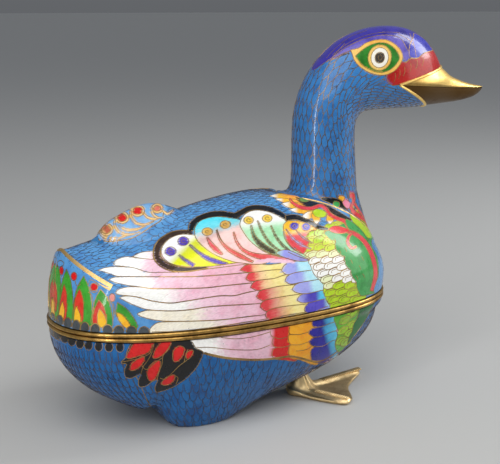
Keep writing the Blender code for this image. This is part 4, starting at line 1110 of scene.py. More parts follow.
def lay_hooks(skin, allowed):
    """Hooks dropped straight down on the back, with their round ends towards the tail."""
    laid = []
    tree = KDTree(len(skin["points"]))
    for i, point in enumerate(skin["points"]):
        tree.insert(point, i)
    tree.balance()
    for i, x in enumerate(np.arange(*HOOK_ROWS)):
        for j in range(HOOKS_ACROSS):
            y = HOOK_PITCH * (j + 0.5 * (i % 2)) + chance.uniform(-0.5, 0.5)
            place = np.array((x + chance.uniform(-0.8, 0.8), y))
            lean = math.radians(chance.uniform(-16, 16)) + 0.1
            size = HOOK_LENGTH * chance.uniform(0.75, 1.2), HOOK_WIDTH * chance.uniform(0.8, 1.15)
            turn = np.array(((math.cos(lean), math.sin(lean)), (-math.sin(lean), math.cos(lean))))
            line = smooth_line(HOOK * size * HOOK_FINENESS, False) / HOOK_FINENESS @ turn + place
            spots, normals, free = [], [], []
            for a, b in line:
                hit, normal, _, _ = skin["tree"].ray_cast(Vector((a, -b, ABOVE_ALL)), Vector((0, 0, -1)))
                if hit is None:
                    break
                spots.append(hit)
                normals.append(normal if normal.z > 0 else -normal)
                nearest = tree.find(hit)[1]
                free.append(skin["plain"][nearest] and allowed(hit, normals[-1]))
            if len(spots) == len(line):
                laid.append((np.array(spots), np.array(normals), np.array(free)))
    return laid


lid_scales = lay_hooks(lid, lambda p, n: n.z > 0.3 and not (p.x > 48 and abs(p.y) < 20))
chest_scales = scale_rows(lid, SCALE, 5.0, 4.2, 0.0, 0.8, lambda p: p[0] > 60, 0.08)
bowl_scales = scale_rows(bowl, SCALE * (1, -1), 5.8, 3.4, 0.25, 0.74, lambda p: True, 0.1)
neck_scales = lay_net(head, 34, 5.2)
print("scales:", len(lid_scales), len(chest_scales), len(bowl_scales), len(neck_scales))

# %% [markdown]
# ## From drawing to metal
# Each wire is lifted off the sheet onto the skin, where it stands up by a few hundredths of a millimetre, as
# it does after polishing. Wires that later cells cover are left out. A mirrored copy goes on the other side.

# %% Wire ribbons
# How far a wire stands up and reaches down, and how wide its top is for its foot
WIRE_RISE, WIRE_ROOT = 0.07, 0.12
TOP_SHARE = 0.7
LONGEST_JUMP = 4.0
BESIDE_ALL = 60
LID_SCALE_WIRE, SCALE_WIRE = 0.22, 0.26


def lift(skin, line):
    spots, normals = np.full((len(line), 3), np.nan), np.full((len(line), 3), np.nan)
    for i, spot in enumerate(line):
        if skin["side_on"]:
            start, way = Vector((spot[0], -BESIDE_ALL, spot[1])), Vector((0, 1, 0))
        else:
            start, way = sheet_ray(spot)
        hit, normal, _, _ = skin["tree"].ray_cast(start, way)
        if hit is None:
            continue
        facing = normal if normal.dot(way) < 0 else -normal
        if skin["side_on"] or facing.dot(hit - Vector((0.6 * hit.x, 0, 0))) > 0:
            spots[i], normals[i] = hit, facing
    return spots, normals


def runs_of(spots, normals, free):
    """The unbroken runs of a line, split where it is covered, misses the skin or jumps across a fold."""
    free = free & ~np.isnan(spots[:, 0])
    runs, run = [], []
    for i in range(len(spots)):
        if free[i] and (not run or np.linalg.norm(spots[i] - spots[run[-1]]) < LONGEST_JUMP):
            run.append(i)
        else:
            if len(run) > 1:
                runs.append(run)
            run = [i] if free[i] else []
    if len(run) > 1:
        runs.append(run)
    return [(spots[r], normals[r]) for r in runs]


def ribbon_mesh(name, runs):
    """One mesh of all the ribbons of a skin: each is four points wide, with closed ends."""
    points, faces = [], []
    total = 0
    for spots, normals, width in runs:
        half = unit(np.cross(np.gradient(spots, axis=0), normals), 1e-9) * width / 2
        root, top = spots - normals * WIRE_ROOT, spots + normals * WIRE_RISE
        block = np.stack([root - half, top - half * TOP_SHARE, top + half * TOP_SHARE, root + half], 1)
        points.append(block.reshape(-1, 3))
        for i in range(len(spots) - 1):
            low, high = total + 4 * i, total + 4 * i + 4
            faces += [(low + k, low + (k + 1) % 4, high + (k + 1) % 4, high + k) for k in range(4)]
        last = total + 4 * (len(spots) - 1)
        faces += [(total + 3, total + 2, total + 1, total), (last, last + 1, last + 2, last + 3)]
        total += 4 * len(spots)
    return new_object(name, np.concatenate(points), faces)


def new_object(name, points, faces):
    mesh = bpy.data.meshes.new(name)
    mesh.from_pydata(to_part(points).tolist(), [], [tuple(int(i) for i in face) for face in faces])
    mesh.validate()
    piece = bpy.data.objects.new(name, mesh)
    bpy.context.scene.collection.objects.link(piece)
    return piece


def face_outward(piece):
    bpy.ops.object.select_all(action="DESELECT")
    bpy.context.view_layer.objects.active = piece
    piece.select_set(True)
    bpy.ops.object.mode_set(mode="EDIT")
    bpy.ops.mesh.select_all(action="SELECT")
    bpy.ops.mesh.normals_make_consistent(inside=False)
    bpy.ops.object.mode_set(mode="OBJECT")
    piece.select_set(False)


def finish_mesh(piece, crease):
    face_outward(piece)
    piece.data.shade_smooth()
    piece.data.set_sharp_from_angle(angle=math.radians(crease))


def mark(piece, name, values):
    """A number for each point of the mesh, which a material can read."""
    piece.data.attributes.new(name=name, type="FLOAT", domain="POINT").data.foreach_set("value", values)


def drawn_wires(skin):
    runs = []
    for wire in skin["wires"]:
        spots, normals = lift(skin, wire["line"])
        for a, b in runs_of(spots, normals, wire["kept"]):
            runs += [(a, b, wire["width"]), (a * FLIP, b * FLIP, wire["width"])]
    return runs


def scale_wires(scales, width):
    return [(a, b, width) for scale in scales for a, b in runs_of(*scale)]


def mirrored(scales):
    return scales + [(spots * FLIP, normals * FLIP, free) for spots, normals, free in scales]


lid_wires = ribbon_mesh("lid_wires", drawn_wires(lid))
bowl_wires = ribbon_mesh("bowl_wires", drawn_wires(bowl))
head_wires = ribbon_mesh("head_wires", drawn_wires(head))
lid_net = ribbon_mesh("lid_scale_wires", scale_wires(mirrored(lid_scales) + chest_scales, LID_SCALE_WIRE))
bowl_net = ribbon_mesh("bowl_scale_wires", scale_wires(bowl_scales, SCALE_WIRE))
neck_net = ribbon_mesh("neck_scale_wires", scale_wires(neck_scales, SCALE_WIRE))
for piece in (lid_wires, bowl_wires, head_wires, lid_net, bowl_net, neck_net):
    face_outward(piece)
    print(piece.name, len(piece.data.polygons) * 2, "triangles")

# %% [markdown]
# ## Shells
# The painted skins become closed shells: the fine outside, a plain inside of a few large faces, and the
# edges between them. The inside has the plain blue counter enamel that such boxes have.

# %% Closed shells with their colours
COUNTER_ENAMEL = (40, 110, 168)


def shell(name, skin, inner, pole=None):
    """Joins a fine outer skin to a coarse inner one, ring to ring, and keeps the colours on its points."""
    columns, coarse = skin["columns"], inner.shape[1]
    ratio = columns // coarse
    start = len(skin["points"])
    points = np.concatenate([skin["points"], inner.reshape(-1, 3)])
    inner_at = start + np.arange(inner.shape[0] * coarse).reshape(inner.shape[:2])
    faces = list(skin["quads"])
    for here, below in zip(inner_at[:-1], inner_at[1:]):
        faces += [(here[j], below[j], below[(j + 1) % coarse],
                   here[(j + 1) % coarse]) for j in range(coarse)]
    rings = [(0, inner_at[0])] + ([(start - columns, inner_at[-1])] if pole is None else [])
    for first, ring in rings:
        for j in range(coarse):
            after = (j + 1) % coarse
            edge = [first + (j * ratio + k) % columns for k in range(ratio + 1)]
            faces += [(edge[k], edge[k + 1], ring[j]) for k in range(ratio // 2)]
            faces += [(edge[k], edge[k + 1], ring[after]) for k in range(ratio // 2, ratio)]
            faces.append((edge[ratio // 2], ring[after], ring[j]))
    if pole is not None:
        outer_pole, inner_pole = len(points), len(points) + 1
        points = np.concatenate([points, pole])
        last = start - columns
        faces += [(last + j, last + (j + 1) % columns, outer_pole) for j in range(columns)]
        faces += [(inner_at[-1, j], inner_at[-1, (j + 1) % coarse], inner_pole) for j in range(coarse)]
    piece = new_object(name, points, faces)
    shade = np.tile(colour(COUNTER_ENAMEL), (len(points), 1))
    shade[:start] = skin["colour"]
    if pole is not None:
        shade[len(points) - 2] = skin["colour"][start - 1]
    paint = piece.data.color_attributes.new(name="enamel", type="FLOAT_COLOR", domain="POINT")
    paint.data.foreach_set("color", np.column_stack([shade, np.ones(len(shade))]).ravel())
    mark(piece, "grit", np.concatenate([skin["grit"], np.zeros(len(points) - start)]))
    finish_mesh(piece, 50)
    print(name, sum(len(p.vertices) - 2 for p in piece.data.polygons), "triangles")
    return piece


def inner_rows(surface, angles, shares):
    rows = surface(angles[None], shares[:, None])
    around = np.roll(rows, -1, 1) - np.roll(rows, 1, 1)
    normals = unit(np.cross(around, np.gradient(rows, axis=0)), 1e-9)
    outward = np.sign((normals[..., :2] * rows[..., :2]).sum())
    inner = rows - outward * normals * WALL
    inner[0, :, 2] = rows[0, :, 2]
    return inner


coarse_angles = np.linspace(0, 2 * math.pi, 60, endpoint=False)
inner_climbs = np.concatenate([[0, 0.08, 0.17], np.linspace(TAIL_EDGE_CLIMB, 1, 12)])
lid_inner = inner_rows(lid_surface, coarse_angles, inner_climbs)
bowl_inner = inner_rows(bowl_surface, coarse_angles, np.linspace(0, 1, 14, endpoint=False))
bowl_bottom = bowl_surface(0.0, 1.0)
bottom_pair = np.array([bowl_bottom, bowl_bottom + (0, 0, WALL)])
lid_shell = shell("enamelled_lid", lid, lid_inner)
bowl_shell = shell("enamelled_bowl", bowl, bowl_inner, pole=bottom_pair)

# %% [markdown]
# The head's skin ends at the wedge where the beak is let in. Its last ring is closed by a small plate behind
# the beak, with the tube of the neck left open below.

# %% Neck and head shell
OUTER_PLATE_COLUMN, INNER_PLATE_COLUMN = 50, 10
MIDDLE_PLANE = (1, 0, 1)
head_inner = neck_rows(40, steps=16, foot_steps=3, inward=WALL)
plate_spots = np.array([head_rows[-1, OUTER_PLATE_COLUMN], head_inner[-1, INNER_PLATE_COLUMN]])
head_shell = shell("enamelled_neck_and_head", head, head_inner, pole=plate_spots * MIDDLE_PLANE)

# %% [markdown]
# ## Brass
# The rims, the tail's edge, the beak and the feet are brass. Each rim is one bead swept round the seam, and
# the bowl's has a lip inside that keeps the lid in place.

# %% Rims


def sweep(name, profile, count=360):
    """A ring that follows the seam; profile is (outward, height) round its section."""
    angles = np.linspace(0, 2 * math.pi, count, endpoint=False)
    rings = []
    for out, z in profile:
        x, y = seam_line(angles, out)
        rings.append(np.column_stack([x, y, np.full(count, z)]))
    points = np.array(rings).transpose(1, 0, 2).reshape(-1, 3)
    size = len(profile)
    faces = [(i * size + k, i * size + (k + 1) % size, (i + 1) % count * size + (k + 1) % size,
              (i + 1) % count * size + k) for i in range(count) for k in range(size)]
    piece = new_object(name, points, faces)
    finish_mesh(piece, 45)
    return piece


def bead(low, high):
    middle, half = (low + high) / 2, (high - low) / 2
    sides = np.radians(np.linspace(-90, 90, 9))
    return [(RIM_PROUD * math.cos(t), middle + half * math.sin(t)) for t in sides]


LIP_HEIGHT, LIP_WALL, LIP_CLEARANCE = 2.6, 1, 0.4
low = JOINT_GAP / 2
lid_rim = sweep("lid_rim_brass", bead(low, RIM_TOP) + [(-RIM_DEPTH, RIM_TOP), (-RIM_DEPTH, low)])
lip_out = -RIM_DEPTH - LIP_CLEARANCE
lip_in, lip_top = lip_out - LIP_WALL, low + LIP_HEIGHT
lip = [(lip_out, -low), (lip_out, lip_top), (lip_in, lip_top), (lip_in, -RIM_TOP)]
bowl_rim = sweep("bowl_rim_brass", bead(-RIM_TOP, -low) + lip)
print("rims", len(lid_rim.data.polygons), len(bowl_rim.data.polygons), "faces")

# %% [markdown]
# The tail's edge and the joint round the neck's foot are broad flat wires, hammered over the fold.

# %% Tail edge and neck joint
TAIL_EDGE_WIDTH, TAIL_EDGE_HALF_SPAN, TAIL_EDGE_LIFT = 3.0, 29.6, 0.15
TAIL_EDGE_FACING = (-0.8, 0, 0.6)
JOINT_WIDTH, JOINT_LIFT = 0.9, 0.3
tail_turns = np.linspace(math.pi - 0.86, math.pi + 0.86, 90)
tail_spots = lid_surface(tail_turns, np.full(len(tail_turns), TAIL_EDGE_CLIMB + 0.004))
tail_spots = tail_spots[np.abs(tail_spots[:, 1]) < TAIL_EDGE_HALF_SPAN]
tail_ways = np.gradient(tail_spots, axis=0)
tail_normals = unit(np.cross(tail_ways, np.cross(TAIL_EDGE_FACING, tail_ways)))
tail_runs = [(tail_spots + tail_normals * TAIL_EDGE_LIFT, tail_normals, TAIL_EDGE_WIDTH)]
joint_turns = np.linspace(0, 2 * math.pi, 121)
joint_x, joint_y, joint_z = collar_line(joint_turns, 0.1)
joint_spots = np.column_stack([joint_x, joint_y, joint_z + JOINT_LIFT])
joint_slope = np.full(len(joint_turns), 0.8)
joint_normals = unit(np.column_stack([np.cos(joint_turns), np.sin(joint_turns), joint_slope]))
tail_edge = ribbon_mesh("tail_edge_brass", tail_runs)
neck_joint = ribbon_mesh("neck_joint_brass", [(joint_spots, joint_normals, JOINT_WIDTH)])
for piece in (tail_edge, neck_joint):
    finish_mesh(piece, 40)
print("tail edge", round(float(np.ptp(tail_spots[:, 1])), 1), "mm across")

# %% [markdown]
# ## Beak
# The beak is a casting with an upper and a lower half that meet in a groove. It starts at the wedge in the
# head and is drawn through a few upright sections to its tip. A raised lip, like a thick wire, runs round
# the wedge.

# %% Beak rings
BEAK_RINGS = (
    (141.0, 107.6, 101.0, 92.3, 7.3),
    (148.0, 104.7, 100.6, 92.8, 6.1),
    (155.0, 102.6, 100.3, 93.7, 4.9),
    (161.0, 101.3, 100.0, 95.1, 3.5),
    (165.0, 100.6, 99.9, 97.2, 2.0),
    (166.6, 100.2, 99.8, 98.7, 0.8),
)
BEAK_TIP = (167.0, 0.0, 99.8)
MOUTH_GROOVE, MOUTH_STEP = 1.3, 0.7
LOWER_INSET, CHEEK_FULLNESS = 0.97, 0.15
UPPER_POINTS, LOWER_POINTS, EDGE_STEPS = 29, 21, 180


def smooth_rows(keys, steps):
    """Rows between the key rows, along smooth curves that allow for uneven spacing."""
    gaps = np.linalg.norm(np.diff(keys, axis=0), axis=-1, keepdims=True) + 1e-6
    slopes = np.diff(keys, axis=0) / gaps
    inner = (slopes[:-1] * gaps[1:] + slopes[1:] * gaps[:-1]) / (gaps[:-1] + gaps[1:])
    ways = np.concatenate([slopes[:1], inner, slopes[-1:]])
    rows = []
    for i, gap in enumerate(gaps):
        for t in np.arange(steps) / steps:
            rows.append((2 * t**3 - 3 * t**2 + 1) * keys[i] + (t**3 - 2 * t**2 + t) * gap * ways[i]
                        + (3 * t**2 - 2 * t**3) * keys[i + 1] + (t**3 - t**2) * gap * ways[i + 1])
    return np.array(rows + [keys[-1]])


turns = np.linspace(0, math.pi, EDGE_STEPS + 1)
wedge_edge = head_surface(face_shares(turns, -0.3), turns) * FLIP
corner = int(np.argmin(wedge_edge[:, 0]))
upper, lower = np.linspace(0, 1, UPPER_POINTS), np.linspace(0, 1, LOWER_POINTS)
places = np.concatenate([corner * upper, corner + (EDGE_STEPS - corner) * lower])
key_rows = [np.stack([np.interp(places, np.arange(len(turns)), wedge_edge[:, k]) for k in range(3)], -1)]
key_rows[0][UPPER_POINTS:, 1] *= LOWER_INSET
for x, top, mouth, under, half in BEAK_RINGS:
    up, down = upper * math.pi / 2, lower * math.pi / 2
    step = min(MOUTH_STEP, 0.35 * half)
    jaw = mouth - 0.6 * step
    y = np.concatenate([-half * np.sin(up), -(half - step) * np.cos(down)])
    z = np.concatenate([mouth + (top - mouth) * np.cos(up), jaw - (jaw - under) * np.sin(down)])
    key_rows.append(np.column_stack([np.full(len(y), x), y, z]))
cheek = key_rows[0] * 0.6 + key_rows[1] * 0.4
cheek[:, 1] *= 1 + CHEEK_FULLNESS * np.concatenate([upper**3, (1 - lower) ** 3])
side = smooth_rows(np.array([key_rows[0], cheek, *key_rows[1:]]), 8)
groove = (side[:, UPPER_POINTS - 1] + side[:, UPPER_POINTS]) / 2
groove[:, 1] *= 1 - np.minimum(0.8, MOUTH_GROOVE / (np.abs(groove[:, 1]) + 1e-6))
side = np.concatenate([side[:, :UPPER_POINTS], groove[:, None], side[:, UPPER_POINTS:]], 1)
beak_rows = np.concatenate([side, side[:, -2:0:-1] * FLIP], 1)
print("beak rows", beak_rows.shape)

# %% Beak and lip
LIP_RADIUS, LIP_LIFT, LIP_SIDES = 0.75, 0.1, 8
FACE_MIDDLE = (112, 0, 104)
columns = beak_rows.shape[1]
half_way = columns // 2
faces = rings_mesh(beak_rows)
faces += [(j, j + 1, columns - j - 1, columns - j) for j in range(1, half_way - 1)]
faces += [(0, 1, columns - 1), (half_way - 1, half_way, half_way + 1)]
tip = beak_rows.shape[0] * columns
faces += [(tip - columns + j, tip - columns + (j + 1) % columns, tip) for j in range(columns)]
loop = beak_rows[0]
way = unit(np.roll(loop, -1, 0) - np.roll(loop, 1, 0))
out = np.array([head["tree"].find_nearest(Vector(p))[1] for p in loop])
out *= np.sign((out * (loop - FACE_MIDDLE)).sum(1, keepdims=True))
over = np.cross(way, out)
section = np.linspace(0, 2 * math.pi, LIP_SIDES, endpoint=False)
lip_ways = [out * math.cos(t) + over * math.sin(t) for t in section]
lip_rows = np.array([loop + LIP_LIFT * out + LIP_RADIUS * lip_way for lip_way in lip_ways])
lip_faces = rings_mesh(lip_rows, tip + 1)
last, first = tip + 1 + (LIP_SIDES - 1) * columns, tip + 1
lip_faces += [(last + j, last + (j + 1) % columns, first + (j + 1) % columns,
               first + j) for j in range(columns)]
points = np.concatenate([beak_rows.reshape(-1, 3), [BEAK_TIP], lip_rows.reshape(-1, 3)])
beak = new_object("beak_brass", points, faces + lip_faces)
# Painted shade: the lower half of the beak is marked fully and the groove between the halves partly, so
# their brass is darkened towards near black. This stands in for the shade and dark reflections under the
# beak.
beak_painted_shade = np.zeros(len(points))
ring_painted_shade = np.zeros(columns)
ring_painted_shade[UPPER_POINTS - 2 : UPPER_POINTS + 1] = 0.7
ring_painted_shade[UPPER_POINTS + 1 :] = 1.0
ring_painted_shade[columns - UPPER_POINTS :] = ring_painted_shade[1 : UPPER_POINTS + 1][::-1]
beak_painted_shade[:tip] = np.tile(ring_painted_shade, len(beak_rows))
mark(beak, "dull", beak_painted_shade)
finish_mesh(beak, 38)
print("beak", len(beak.data.polygons), "faces")

# %% [markdown]
# ## Feet
# The feet are castings too. The part's own are copied, merged and softened with a subdivision, and a row of
# small notched ridges is set along each toe.

# %% Feet
HEEL_X, HEEL_Y = 37.0, 15.0
TOE_TURNS, TOE_LENGTHS = (8.5, -64.0), (46.0, 30.5)
LEFT_TURN_OUT = 14.0
NOTCH_PITCH, NOTCH_HEIGHT = 1.9, 3.3
NOTCH_SIZE = (0.62, 1.9, 0.7)
RIDGE_HALF_WIDTH, HEEL_RADIUS, WEB_DULLNESS = 3.2, 9, 0.4


def casting(node, name, levels):
    """A softened copy of one of the part's castings."""
    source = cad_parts[node]
    piece = source.copy()
    piece.data = source.data.copy()
    piece.name = name
    piece.data.name = name
    piece.parent = None
    bpy.context.scene.collection.objects.link(piece)
    bpy.ops.object.select_all(action="DESELECT")
    bpy.context.view_layer.objects.active = piece
    piece.select_set(True)
    bpy.ops.object.mode_set(mode="EDIT")
    bpy.ops.mesh.select_all(action="SELECT")
    bpy.ops.mesh.remove_doubles(threshold=0.00001)
    bpy.ops.mesh.tris_convert_to_quads(face_threshold=math.radians(40), shape_threshold=math.radians(60))
    bpy.ops.mesh.normals_make_consistent(inside=False)
    bpy.ops.object.mode_set(mode="OBJECT")
    finer = piece.modifiers.new("finer", "SUBSURF")
    finer.levels = finer.render_levels = levels
    bpy.ops.object.modifier_apply(modifier=finer.name)
    piece.select_set(False)
    piece.data.materials.clear()
    return piece


def add_toe_notches(piece, side, turn_out):
    """Joins rows of small ridges across each toe to the foot, and marks the web as duller."""
    heel = np.array([HEEL_X, side * HEEL_Y])
    turns = [math.radians(turn - turn_out) for turn in TOE_TURNS]
    ways = [np.array([math.cos(turn), -side * math.sin(turn)]) for turn in turns]
    bm = bmesh.new()
    bm.from_mesh(piece.data)
    for length, way in zip(TOE_LENGTHS, ways):
        for share in np.linspace(0.36, 0.95, int(length / NOTCH_PITCH)):
            spot = to_part((*(heel + way * length * share), NOTCH_HEIGHT - REST_DEPTH))
            made = bmesh.ops.create_icosphere(bm, subdivisions=2, radius=0.001)["verts"]
            across = np.array([-way[1], way[0]])
            for vert in made:
                a, b, c = vert.co
                flat = way * a * NOTCH_SIZE[0] + across * b * NOTCH_SIZE[1]
                vert.co = (spot[0] + flat[0], spot[1] + flat[1], spot[2] + c * NOTCH_SIZE[2])
    bm.to_mesh(piece.data)
    bm.free()
    places = np.empty(len(piece.data.vertices) * 3)
    piece.data.vertices.foreach_get("co", places)
    places = (places.reshape(-1, 3) - SEAM_PLACE) * MM_IN_METRE
    from_heel = places[:, :2] - heel
    rubbed = np.linalg.norm(from_heel, axis=1) < HEEL_RADIUS
    for way in ways:
        off = np.abs(from_heel @ np.array([-way[1], way[0]]))
        rubbed |= (from_heel @ way > 0) & (off < RIDGE_HALF_WIDTH)
    mark(piece, "dull", np.where(rubbed, 0.0, WEB_DULLNESS))
    finish_mesh(piece, 55)


foot_right = casting("foot_right", "foot_right_brass", 2)
foot_left = casting("foot_left", "foot_left_brass", 2)
add_toe_notches(foot_right, -1, 0.0)
add_toe_notches(foot_left, 1, LEFT_TURN_OUT)
print("feet", len(foot_right.data.polygons), "faces each")

# %% [markdown]
# ## Finishes
# Two effects are shared. `pitting` gives the small pinholes of fired enamel, and `tarnish` the brown film
# that stays where brass isn't rubbed. Both are groups that give out only masks and heights.

# %% Shared effects


def group(name, inputs, outputs):
    tree = bpy.data.node_groups.new(name, "ShaderNodeTree")
    for label, kind, value in inputs:
        socket = tree.interface.new_socket(label, in_out="INPUT", socket_type=kind)
        if value is not None:
            socket.default_value = value
    for label, kind in outputs:
        tree.interface.new_socket(label, in_out="OUTPUT", socket_type=kind)
    return tree, tree.nodes.new("NodeGroupInput"), tree.nodes.new("NodeGroupOutput")


def noise(tree, vector, scale, detail, roughness=0.5):
    node = tree.nodes.new("ShaderNodeTexNoise")
    node.inputs["Scale"].default_value = scale
    node.inputs["Detail"].default_value = detail
    node.inputs["Roughness"].default_value = roughness
    tree.links.new(vector, node.inputs["Vector"])
    return node.outputs["Fac"]


def ramp(tree, value, low, high, to_low=0.0, to_high=1.0):
    node = tree.nodes.new("ShaderNodeMapRange")
    for label, number in (("From Min", low), ("From Max", high), ("To Min", to_low), ("To Max", to_high)):
        node.inputs[label].default_value = number
    tree.links.new(value, node.inputs["Value"])
    return node.outputs["Result"]


def maths(tree, kind, a, b):
    node = tree.nodes.new("ShaderNodeMath")
    node.operation = kind
    for socket, value in zip(node.inputs, (a, b)):
        if isinstance(value, (int, float)):
            socket.default_value = value
        else:
            tree.links.new(value, socket)
    return node.outputs[0]


VECTOR, NUMBER = "NodeSocketVector", "NodeSocketFloat"
pitting, given, out = group("pitting", [("Vector", VECTOR, None), ("Amount", NUMBER, 1.0)],
                            [("Pits", NUMBER), ("Cloud", NUMBER), ("Height", NUMBER)])
cells = pitting.nodes.new("ShaderNodeTexVoronoi")
cells.inputs["Scale"].default_value = 620
pitting.links.new(given.outputs["Vector"], cells.inputs["Vector"])
spots = ramp(pitting, cells.outputs["Distance"], 0.10, 0.24, 1.0, 0.0)
where = ramp(pitting, noise(pitting, given.outputs["Vector"], 230, 3), 0.55, 0.7)
pits = maths(pitting, "MULTIPLY", maths(pitting, "MULTIPLY", spots, where), given.outputs["Amount"])
cloud = noise(pitting, given.outputs["Vector"], 160, 4, 0.6)
pitting.links.new(pits, out.inputs["Pits"])
pitting.links.new(cloud, out.inputs["Cloud"])
swell = maths(pitting, "MULTIPLY", noise(pitting, given.outputs["Vector"], 300, 2), 0.35)
pitting.links.new(maths(pitting, "SUBTRACT", swell, pits), out.inputs["Height"])


def weighted(tree, a, share, b):
    """A mix of two values, with the given share of the first."""
    much, rest = maths(tree, "MULTIPLY", a, share), maths(tree, "MULTIPLY", b, round(1 - share, 2))
    return maths(tree, "ADD", much, rest)


tarnish, given, out = group("tarnish", [("Vector", VECTOR, None), ("Amount", NUMBER, 0.5)],
                            [("Mask", NUMBER), ("Height", NUMBER)])
film = noise(tarnish, given.outputs["Vector"], 90, 6, 0.65)
grain = noise(tarnish, given.outputs["Vector"], 900, 3, 0.6)
film = weighted(tarnish, film, 0.8, grain)
shifted = maths(tarnish, "ADD", film, maths(tarnish, "SUBTRACT", given.outputs["Amount"], 0.5))
tarnish.links.new(ramp(tarnish, shifted, 0.42, 0.62), out.inputs["Mask"])
tarnish.links.new(weighted(tarnish, film, 0.6, grain), out.inputs["Height"])
print("groups", pitting.name, tarnish.name)

# %% [markdown]
# The enamel reads its colour from the points of the mesh. Its gloss comes from a clear top coat over a
# slightly softer body, and a faint unevenness keeps the reflections from being those of glass.

# %% Enamel and brass


def start_material(name):
    material = bpy.data.materials.new(name)
    material.use_nodes = True
    tree = material.node_tree
    shader = tree.nodes["Principled BSDF"]
    place = tree.nodes.new("ShaderNodeTexCoord").outputs["Object"]
    return material, tree, shader, place


def use_group(tree, which, place, amount):
    node = tree.nodes.new("ShaderNodeGroup")
    node.node_tree = which
    tree.links.new(place, node.inputs["Vector"])
    if isinstance(amount, (int, float)):
        node.inputs["Amount"].default_value = amount
    else:
        tree.links.new(amount, node.inputs["Amount"])
    return node


def mix_colour(tree, share, a, b, blend="MIX"):
    node = tree.nodes.new("ShaderNodeMix")
    node.data_type = "RGBA"
    node.blend_type = blend
    for label, kind, value in (("Factor", "VALUE", share), ("A", "RGBA", a), ("B", "RGBA", b)):
        socket = next(s for s in node.inputs if s.name == label and s.type == kind)
        if isinstance(value, (int, float, tuple)):
            socket.default_value = value
        else:
            tree.links.new(value, socket)
    return next(s for s in node.outputs if s.type == "RGBA")


def read_mark(tree, name):
    node = tree.nodes.new("ShaderNodeAttribute")
    node.attribute_name = name
    return node


def bump(tree, height, strength, distance, shader):
    node = tree.nodes.new("ShaderNodeBump")
    node.inputs["Strength"].default_value = strength
    node.inputs["Distance"].default_value = distance
    tree.links.new(height, node.inputs["Height"])
    tree.links.new(node.outputs["Normal"], shader.inputs["Normal"])


def enamel_finish(name, roughness):
    material, tree, shader, place = start_material(name)
    paint, grit = read_mark(tree, "enamel"), read_mark(tree, "grit")
    effect = use_group(tree, pitting, place, 1.0)
    cloud = effect.outputs["Cloud"]
    paler = ramp(tree, cloud, 0.35, 0.68, 0.0, 0.3)
    light = mix_colour(tree, paler, paint.outputs["Color"], (1.0, 1.0, 1.0, 1.0), "SOFT_LIGHT")
    deeper = ramp(tree, cloud, 0.32, 0.5, 0.32, 0.0)
    dark = mix_colour(tree, deeper, light, (0.0, 0.0, 0.0, 1.0), "SOFT_LIGHT")
    pit_share = ramp(tree, grit.outputs["Fac"], 0.0, 1.0, 0.15, 0.75)
    shown = maths(tree, "MULTIPLY", effect.outputs["Pits"], pit_share)
    finish = mix_colour(tree, shown, dark, (0.09, 0.07, 0.08, 1.0))
    tree.links.new(finish, shader.inputs["Base Color"])
    gloss = ramp(tree, cloud, 0.3, 0.7, roughness - 0.05, roughness + 0.12)
    tree.links.new(gloss, shader.inputs["Roughness"])
    shader.inputs["Specular IOR Level"].default_value = 0.25
    shader.inputs["Coat Weight"].default_value = 0.45
    shader.inputs["Coat Roughness"].default_value = 0.07
    bump(tree, effect.outputs["Height"], 0.16, 0.0004, shader)
    return material


def brass_finish(name, bright, dull, amount, roughness):
    material, tree, shader, place = start_material(name)
    effect = use_group(tree, tarnish, place, amount)
    # The dull mark darkens the brass towards near black. On the feet it is the unrubbed web. On the beak it
    # is painted shade and painted dark reflection on the lower half and in the groove.
    cast = read_mark(tree, "dull")
    worn = mix_colour(tree, effect.outputs["Mask"], bright, dull)
    unrubbed_and_shaded = maths(tree, "MULTIPLY", cast.outputs["Fac"], 0.95)
    shown = mix_colour(tree, unrubbed_and_shaded, worn, (0.06, 0.023, 0.004, 1.0))
    tree.links.new(shown, shader.inputs["Base Color"])
    gloss = ramp(tree, effect.outputs["Mask"], 0.0, 1.0, roughness, roughness + 0.2)
    tree.links.new(gloss, shader.inputs["Roughness"])
    shader.inputs["Metallic"].default_value = 1.0
    bump(tree, effect.outputs["Height"], 0.3, 0.0003, shader)
    return material


enamel = enamel_finish("cloisonne enamel", 0.24)
gilt = brass_finish("gilt brass", (1.0, 0.69, 0.22, 1.0), (0.70, 0.42, 0.11, 1.0), 0.42, 0.36)
foot_brass = brass_finish("cast brass", (0.92, 0.69, 0.36, 1.0), (0.50, 0.35, 0.17, 1.0), 0.45, 0.42)
edge_brass = brass_finish("matt brass", (0.80, 0.54, 0.22, 1.0), (0.52, 0.33, 0.12, 1.0), 0.45, 0.42)
rim_brass = brass_finish("rubbed brass", (0.62, 0.38, 0.11, 1.0), (0.20, 0.11, 0.03, 1.0), 0.52, 0.28)
wire_brass = brass_finish("wire brass", (0.50, 0.32, 0.12, 1.0), (0.22, 0.13, 0.05, 1.0), 0.5, 0.4)
dark_brass = brass_finish("dark wire brass", (0.17, 0.12, 0.08, 1.0), (0.07, 0.05, 0.04, 1.0), 0.5, 0.45)
neck_brass = brass_finish("brown wire brass", (0.34, 0.23, 0.11, 1.0), (0.12, 0.09, 0.06, 1.0), 0.52, 0.42)

